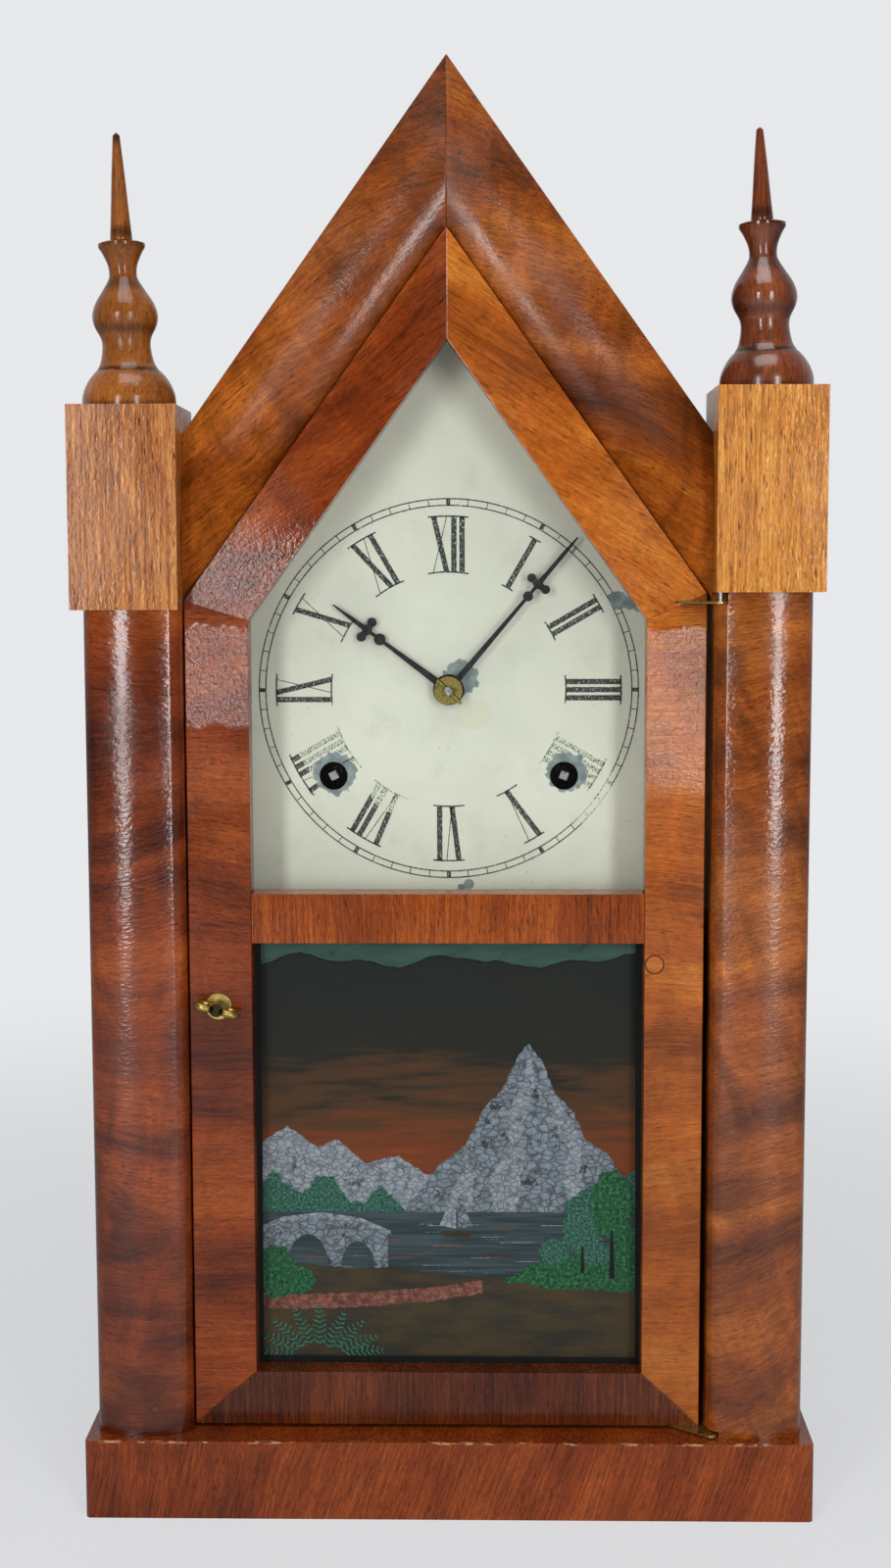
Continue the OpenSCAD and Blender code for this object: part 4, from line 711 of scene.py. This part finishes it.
def clear_holes(figures):
    """Cuts the winding holes out of the drawing."""
    mesh = bmesh.new()
    mesh.from_mesh(figures.data)
    reach = HOLE_RADIUS * MM
    for x in (-HOLE_X, HOLE_X):
        middle = Vector((x * MM, 0, (DIAL_Z - HOLE_DROP) * MM))
        for step in range(16):
            turn = math.tau * step / 16
            way = Vector((math.cos(turn), 0, math.sin(turn)))
            near = [f for f in mesh.faces
                    if min((v.co - middle).length_squared for v in f.verts) < (30 * MM) ** 2]
            geometry = near + [e for f in near for e in f.edges] + [v for f in near for v in f.verts]
            edge = middle + way * reach
            bmesh.ops.bisect_plane(mesh, geom=list(set(geometry)), plane_co=edge, plane_no=way)
        gone = []
        for face in mesh.faces:
            away = face.calc_center_median() - middle
            away.y = 0
            if away.length < reach:
                gone.append(face)
        bmesh.ops.delete(mesh, geom=gone, context="FACES")
    mesh.to_mesh(figures.data)
    mesh.free()


def make_figures():
    """Roman numerals with their feet to the centre, and the minute ring."""
    sheet = Sheet("dial_figures", DIAL_FRONT - LIFT)
    low, high = FIGURE_IN + SERIF * 0.5, FIGURE_OUT - SERIF * 0.5

    def stroke(turn, foot, head, wide):
        """A straight stroke from the foot's offset at the inner radius to the head's at the outer."""
        def point(across, out):
            x = out * math.sin(turn) + across * math.cos(turn)
            z = out * math.cos(turn) - across * math.sin(turn)
            return (x, DIAL_Z + z)
        half = wide / 2
        corners = ((foot - half, low), (foot + half, low), (head + half, high), (head - half, high))
        sheet.face([point(across, out) for across, out in corners])

    def arc(r0, r1, a0, a1, steps):
        for i in range(steps):
            p = a0 + (a1 - a0) * i / steps
            q = a0 + (a1 - a0) * (i + 1) / steps
            corners = ((r0, p), (r0, q), (r1, q), (r1, p))
            sheet.face([(r * math.sin(a), DIAL_Z + r * math.cos(a)) for r, a in corners])

    for hour, figure in enumerate(FIGURES):
        turn = math.radians(30 * hour)
        width = sum(WIDTHS[letter] for letter in figure)
        across = -width / 2
        for letter in figure:
            mid = across + WIDTHS[letter] / 2
            half = WIDTHS[letter] / 2 - 1.1
            if letter == "I":
                stroke(turn, mid, mid, THICK)
            elif letter == "V":
                stroke(turn, mid + 0.3, mid - half, THICK)
                stroke(turn, mid + 0.3, mid + half, THIN)
            else:
                stroke(turn, mid + half, mid - half, THICK)
                stroke(turn, mid - half, mid + half, THIN)
            across += WIDTHS[letter]
        for r0, r1 in ((FIGURE_IN, FIGURE_IN + SERIF), (FIGURE_OUT - SERIF, FIGURE_OUT)):
            half = (width / 2 + SERIF_REACH) / r0
            arc(r0, r1, turn - half, turn + half, 6)
    arc(RING_OUT - LINE, RING_OUT, 0, math.tau, 180)
    arc(RING_IN, RING_IN + LINE, 0, math.tau, 180)
    for minute in range(60):
        turn = math.tau * minute / 60
        half = (FIVE_MARK if minute % 5 == 0 else MINUTE_MARK) / RING_OUT
        arc(RING_IN + LINE, RING_OUT - LINE, turn - half, turn + half, 1)
    figures = sheet.make([dial_ink()])
    clear_holes(figures)
    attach(figures, "case")


# The painted tablet, an imagined lake at dusk. Heights of the shore and the lower border's edge, the paint's
# depth inside the glass, the step between its layers, and half the width between the borders, in millimetres
SHORE = 104.0
PAINT_DEPTH = 0.1
LAYER = 0.06
INSET = 0.6
BORDER_X = 67.2
BORDER_Z = 50.7


def flat_paint(name, *stops, scale=(300, 1, 300), fine=0.6, worn=0.0, cells=0.0):
    """Matt paint seen through glass.

    stops are tones from dark to light. cells is how closely engraved lines stand and fine how dark they are.
    worn is how much of the paint has gone in patches.
    """
    t = Tree(name)
    grain = t.noise(t.map(t.place, scale=scale), 1, detail=5, rough=0.65)
    places = [0.36 + 0.28 * i / (len(stops) - 1) for i in range(len(stops))]
    tone = t.ramp(grain, *zip(places, stops))
    if cells:
        lines = t.new("ShaderNodeTexVoronoi", feature="DISTANCE_TO_EDGE")
        t.put(lines.inputs["Vector"], t.map(t.bend(t.place, 200, 0.002), scale=(cells, 1, cells * 1.5)))
        lines.inputs["Scale"].default_value = 1
        edge = t.ramp(lines.outputs["Distance"], (0.03, fine), (0.12, 0.0))
        tone = t.mix(edge, tone, shade(stops[0], 0.3))
    if worn:
        holes = t.noise(t.place, 160, detail=4, rough=0.7)
        tone = t.mix(t.ramp(holes, (0.6, 0.0), (0.63, worn), ease="LINEAR"), tone, srgb(34, 30, 30))
    return t.finish(tone, 0.6, Specular_IOR_Level=0.2)


def dusk_paint():
    """Dark teal above, brown and burnt orange towards the far shore."""
    t = Tree("dusk_paint")
    streaks = t.noise(t.map(t.place, scale=(14, 1, 75)), 1, detail=5, rough=0.6, twist=0.5)
    wisps = t.noise(t.map(t.place, turn=(0, math.radians(9), 0), scale=(45, 1, 420)), 1, detail=4, rough=0.6)
    height = t.calc("MULTIPLY_ADD", streaks, 0.075, t.parts(t.place)[2])
    height = t.calc("MULTIPLY_ADD", wisps, 0.045, height)
    share = t.span(height, 0.146, 0.262)
    tone = t.ramp(
        share, (0.1, srgb(134, 62, 24)), (0.32, srgb(106, 51, 22)), (0.5, srgb(72, 47, 26)),
        (0.66, srgb(32, 31, 24)), (1.0, srgb(24, 31, 31)),
    )
    return t.finish(tone, 0.6, Specular_IOR_Level=0.2)


def rugged(points, size, step=1.6):
    """An outline with its long sides broken into small random steps."""
    out = []
    for (x0, z0), (x1, z1) in zip(points, points[1:] + points[:1]):
        count = max(1, int(math.hypot(x1 - x0, z1 - z0) / step))
        for i in range(count):
            share = i / count
            shake = size if i else 0
            out.append((x0 + (x1 - x0) * share + random.uniform(-shake, shake),
                        z0 + (z1 - z0) * share + random.uniform(-shake, shake)))
    return out


def foliage(x, z, wide, high):
    """A bushy outline round (x, z)."""
    lobes = 9
    out = []
    for i in range(lobes * 8):
        turn = math.tau * i / (lobes * 8)
        bulge = 1 + 0.13 * abs(math.sin(turn * lobes / 2 + x)) + random.uniform(-0.045, 0.045)
        out.append((x + wide * bulge * math.cos(turn), z + high * bulge * math.sin(turn)))
    return out


PAINTS = {
    "silver_paint": ((srgb(96, 104, 112), srgb(128, 136, 146)), dict(fine=0.7, worn=0.8, cells=300)),
    "pale_paint": ((srgb(116, 122, 130), srgb(148, 153, 162)), dict(fine=0.6, worn=0.6, cells=380)),
    "far_green": ((srgb(20, 44, 38), srgb(44, 84, 72), srgb(78, 124, 108)), dict(scale=(1100, 1, 1100))),
    "near_green": ((srgb(14, 44, 26), srgb(30, 78, 48), srgb(56, 112, 76)), dict(scale=(800, 1, 800))),
    "lake_paint": ((srgb(36, 50, 54), srgb(62, 74, 78)), dict(scale=(30, 1, 700))),
    "earth_paint": ((srgb(44, 42, 36), srgb(68, 55, 34)), dict(scale=(40, 1, 160))),
    "pink_paint": ((srgb(96, 60, 50), srgb(142, 88, 76)), dict(fine=0.5, worn=0.5, cells=330)),
    "strip_paint": ((srgb(44, 72, 64), srgb(56, 84, 74)), dict(scale=(60, 1, 200), worn=0.5)),
    "fern_paint": ((srgb(24, 58, 50), srgb(46, 98, 82), srgb(72, 124, 104)), dict(scale=(900, 1, 900))),
    "border_paint": ((srgb(8, 12, 11), srgb(16, 20, 18)), {}),
    "backing_paint": ((srgb(70, 60, 50), srgb(104, 92, 76)), dict(scale=(60, 1, 240), worn=0.4)),
}


class Picture(Sheet):
    """Layers of paint just inside the back of the tablet's glass, the higher numbers nearer the front."""

    def __init__(self):
        super().__init__("tablet_picture", TABLET_BACK - PAINT_DEPTH)
        low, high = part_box("tablet_glass")
        self.left = low.x / MM + INSET
        self.right = high.x / MM - INSET
        self.foot = low.z / MM + INSET
        self.top = high.z / MM - INSET
        self.paints = ["dusk_paint", *PAINTS]

    def layer(self, outline, paint, number):
        inside = [(min(max(x, self.left), self.right), min(max(z, self.foot), self.top)) for x, z in outline]
        self.face(inside, self.paints.index(paint), LAYER * number)


def paint_peaks(p):
    ridge = [(p.left, 126), (-58, 136), (-47, 128), (-40, 131), (-30, 122), (-18, 125), (-8, 118), (2, 118)]
    p.layer(rugged(ridge + [(2, SHORE), (p.left, SHORE)], 0.35), "pale_paint", 1)
    peak = [
        (-16, SHORE), (-4, 121), (6, 129), (13, 143), (19, 149), (25, 162), (29, 166), (34, 159), (38, 148),
        (45, 141), (49, 131), (57, 126), (64, 114), (p.right, 110), (p.right, SHORE),
    ]
    p.layer(rugged(peak, 0.4), "silver_paint", 2)
    lit_sides = (
        [(29, 166), (27, 152), (21, 140), (22, 128), (14, 116), (17, SHORE), (24, SHORE), (27, 122),
         (26, 136), (31, 150)],
        [(38, 148), (37, 138), (43, 128), (41, 116), (46, SHORE), (51, SHORE), (47, 120), (48, 130)],
        [(6, 129), (6, 120), (1, 112), (3, SHORE), (8, SHORE), (9, 117)],
    )
    for side in lit_sides:
        p.layer(rugged(side, 0.5, 1.2), "pale_paint", 3)


def paint_far_shore(p):
    """Woods on both sides, and the lake with its glints."""
    woods = [(p.left, SHORE - 6), (p.left, 118)]
    woods += [(p.left + 4 + 5.5 * i, 113 + 5 * math.sin(i * 1.7) + 3 * math.sin(i * 0.6)) for i in range(9)]
    p.layer(rugged(woods + [(-17, 106), (-12, SHORE - 6)], 0.9, 1.1), "far_green", 4)
    foot = SHORE - 8
    woods = [(38, foot), (42, 108), (50, 114), (58, 112), (65, 119), (p.right, 121), (p.right, foot)]
    p.layer(rugged(woods, 0.9, 1.1), "far_green", 4)
    waterline = SHORE + 0.3
    p.layer([(p.left, 80), (p.right, 80), (p.right, waterline), (p.left, waterline)], "lake_paint", 5)
    for number in range(46):
        x = random.uniform(p.left, p.right - 12)
        z = random.uniform(81, SHORE - 3)
        length = random.uniform(3, 14)
        paint = random.choice(("silver_paint", "pale_paint", "far_green", "dusk_paint"))
        glint = [(x, z), (x + length, z + 0.1), (x + length * 0.8, z + 0.32), (x + 1, z + 0.3)]
        p.layer(glint, paint, 5.4 + 0.02 * number)


def paint_boat(p):
    p.layer([(-3, 97.4), (9, 97.4), (7.6, 95), (-1.6, 95)], "earth_paint", 7)
    p.layer([(2.6, 98.2), (2.6, 113.5), (-3.4, 99.4)], "pale_paint", 7)
    p.layer([(3.3, 98.2), (3.3, 111.5), (8.6, 99.2)], "silver_paint", 7)


def arch(x, z, wide, high):
    """A half round from right to left."""
    turns = [math.pi * i / 12 for i in range(13)]
    return [(x + wide * math.cos(turn), z + high * math.sin(turn)) for turn in turns]


def paint_bridge(p):
    foot = 82
    deck = [
        (p.left, 95), (-60, 101.5), (-46, 103), (-32, 101), (-22, 96.5), (-22, 93.5), (-22, foot),
        (-27, foot),
    ]
    middle = [(-39, foot), (-43.5, foot)]
    end = [(-58.5, foot), (p.left, foot)]
    p.layer(deck + arch(-33, 84, 6, 9.5) + middle + arch(-51, 84, 7.5, 12) + end, "silver_paint", 8)
    rail = [
        (p.left, 96.6), (-60, 102.4), (-46, 104.2), (-32, 102.2), (-21, 97.4), (-21, 96), (-32, 100.6),
        (-46, 102.4), (-60, 100.7), (p.left, 95),
    ]
    p.layer(rail, "pale_paint", 9)


def paint_near_shore(p):
    """The near banks, a low wall, and bushes and trees."""
    bank = [
        (p.left, p.foot), (p.right, p.foot), (p.right, 88), (58, 87), (44, 83), (28, 81), (10, 80.5),
        (-8, 82), (-20, 84), (-34, 83), (-52, 85), (p.left, 86),
    ]
    p.layer(rugged(bank, 0.5, 1.4), "earth_paint", 10)
    green = [(20, 79), (30, 85), (44, 88), (56, 92), (p.right, 96), (p.right, 74), (52, 76), (36, 76)]
    p.layer(rugged(green, 0.8, 1.2), "near_green", 11)
    wall = [
        (p.left, 69), (-52, 68), (-30, 69.4), (-6, 71.2), (12, 74.4), (12, 79.2), (-6, 76.4), (-30, 74.6),
        (-52, 73.6), (p.left, 74.8),
    ]
    p.layer(rugged(wall, 0.35, 1.5), "pink_paint", 12)
    right_clumps = ((48, 98, 6.5, 8), (58.5, 107, 7, 12), (38, 90, 5, 4.5), (65.5, 92, 5, 8), (53, 89, 5, 4))
    for number, clump in enumerate(right_clumps):
        p.layer(foliage(*clump), ("far_green", "near_green")[number % 2], 13 + number * 0.2)
    p.layer([(57.8, 80), (59.8, 80), (59, 98), (58.3, 98)], "border_paint", 14)
    p.layer([(47.4, 82), (48.8, 82), (48.4, 92), (47.8, 92)], "border_paint", 14)
    for number, clump in enumerate(((-63, 82, 7, 9), (-55, 79, 6, 5))):
        p.layer(foliage(*clump), "near_green", 13 + number * 0.2)


def paint_ferns(p):
    """Nine fronds that fan out from almost one root, each with eight pairs of leaflets."""
    for number in range(9):
        side = number - 4
        root_x = -47 + side * 1.1
        root_z = BORDER_Z + random.uniform(-2, 0)
        length = 21 - abs(side) * 1.1
        angle = math.radians(90 - side * 17)
        for i in range(3, 11):
            share = i / 11
            droop = angle - math.radians(side * 3.5) * share
            along_x = math.cos(droop)
            along_z = math.sin(droop)
            x = root_x + along_x * length * share * 1.2
            z = root_z + along_z * length * share
            reach = 2.6 * math.sin(math.pi * (0.15 + share * 0.8)) + 0.2
            for way in (-1, 1):
                turned = droop + way * math.radians(62)
                tip_x = x + math.cos(turned) * reach
                tip_z = z + math.sin(turned) * reach
                leaflet = [
                    (x, z), (tip_x, tip_z), (tip_x + along_x * 0.55, tip_z + along_z * 0.55),
                    (x + along_x * 0.8, z + along_z * 0.8),
                ]
                p.layer(leaflet, "fern_paint", 15 + number * 0.2 + way * 0.05)


def paint_borders(p):
    """A wavy teal strip with a dark line along the top, and dark lines at the sides and foot."""
    wave = [(p.left, p.top), (p.right, p.top)]
    for i in range(30):
        x = p.right + (p.left - p.right) * i / 29
        dip = 1.8 if 9 < i < 13 else 0
        wave.append((x, 196.5 + 1.7 * math.sin(i * 0.55 + 0.6) + 1.3 * math.sin(i * 1.31) - dip))
    p.layer(rugged(wave, 0.18), "strip_paint", 19)
    p.layer([(x, z - 0.5 if z < p.top - 1 else z - 7) for x, z in wave], "border_paint", 18)
    left_line = [(p.left, p.foot), (-BORDER_X, p.foot), (0.6 - BORDER_X, p.top), (p.left, p.top)]
    right_line = [(p.right, p.foot), (p.right, p.top), (BORDER_X - 0.9, p.top), (BORDER_X, p.foot)]
    foot_line = [(p.left, p.foot), (p.right, p.foot), (p.right, BORDER_Z), (p.left, BORDER_Z + 0.4)]
    p.layer(left_line, "border_paint", 20)
    p.layer(right_line, "border_paint", 20)
    p.layer(foot_line, "border_paint", 21)


def make_tablet():
    """Silver-grey peaks over a lake, a stone bridge, trees, a low wall and ferns."""
    p = Picture()
    p.layer([(p.left, p.foot), (p.right, p.foot), (p.right, p.top), (p.left, p.top)], "dusk_paint", 0)
    p.layer([(p.left, p.foot), (p.left, p.top), (p.right, p.top), (p.right, p.foot)], "backing_paint", -3)
    paint_peaks(p)
    paint_far_shore(p)
    paint_boat(p)
    paint_bridge(p)
    paint_near_shore(p)
    paint_ferns(p)
    paint_borders(p)
    paints = [dusk_paint()] + [flat_paint(name, *tones, **extra) for name, (tones, extra) in PAINTS.items()]
    picture = p.make(paints)
    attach(picture, "door")


# Floor and world
def make_stage():
    """A pale floor that fades into the pale background."""
    data = bpy.data.meshes.new("floor")
    reach = 8
    fade_start = 0.3
    fade_end = 0.95
    corners = [(-reach, -reach, 0), (reach, -reach, 0), (reach, reach, 0), (-reach, reach, 0)]
    data.from_pydata(corners, [], [(0, 1, 2, 3)])
    floor = bpy.data.objects.new("floor", data)
    bpy.context.scene.collection.objects.link(floor)
    t = Tree("floor_paint")
    grain = t.noise(t.place, 300, detail=3)
    t.finish(t.ramp(grain, (0.3, srgb(224, 225, 228)), (0.7, srgb(230, 231, 234))), 0.7)
    far = t.new("ShaderNodeVectorMath", operation="LENGTH")
    t.put(far.inputs[0], t.place)
    fade = t.span(far.outputs["Value"], fade_start, fade_end, smooth=True)
    glow = t.new("ShaderNodeEmission")
    glow.inputs["Color"].default_value = (*BACKDROP, 1)
    path = t.new("ShaderNodeLightPath")
    seen = t.calc("MAXIMUM", path.outputs["Is Camera Ray"], path.outputs["Is Transmission Ray"])
    both = t.new("ShaderNodeMixShader")
    share = t.calc("MULTIPLY_ADD", fade, 0.35, 0.65)
    t.put(both.inputs[0], t.calc("MULTIPLY", share, seen))
    t.links.new(t.shader.outputs[0], both.inputs[1])
    t.links.new(glow.outputs[0], both.inputs[2])
    t.links.new(both.outputs[0], t.nodes["Material Output"].inputs["Surface"])
    data.materials.append(t.material)


def make_world():
    """Pale where it is seen, dimmer as light, and dark in front as mirrored by the gloss."""
    world = bpy.data.worlds.new("studio")
    bpy.context.scene.world = world
    world.use_nodes = True
    nodes, links = world.node_tree.nodes, world.node_tree.links
    back = nodes["Background"]
    back.inputs["Color"].default_value = (*BACKDROP, 1)
    path = nodes.new("ShaderNodeLightPath")
    either = nodes.new("ShaderNodeMath")
    either.operation = "MAXIMUM"
    links.new(path.outputs["Is Camera Ray"], either.inputs[0])
    links.new(path.outputs["Is Transmission Ray"], either.inputs[1])
    ways = nodes.new("ShaderNodeSeparateXYZ")
    links.new(nodes.new("ShaderNodeTexCoord").outputs["Generated"], ways.inputs[0])
    behind = nodes.new("ShaderNodeMapRange")
    links.new(ways.outputs["Y"], behind.inputs["Value"])
    for key, value in (("From Min", -0.4), ("From Max", 0.5), ("To Min", 0.1), ("To Max", 0.8)):
        behind.inputs[key].default_value = value
    glossy = nodes.new("ShaderNodeMix")
    links.new(path.outputs["Is Glossy Ray"], glossy.inputs[0])
    glossy.inputs[2].default_value = AMBIENT
    links.new(behind.outputs[0], glossy.inputs[3])
    level = nodes.new("ShaderNodeMix")
    links.new(either.outputs[0], level.inputs[0])
    links.new(glossy.outputs[0], level.inputs[2])
    level.inputs[3].default_value = 1.0
    links.new(level.outputs[0], back.inputs["Strength"])


make_camera()
make_stage()
make_world()
make_lights()
dress_case()
dress_metal()
make_figures()
make_tablet()
bpy.context.scene.view_settings.view_transform = "Standard"
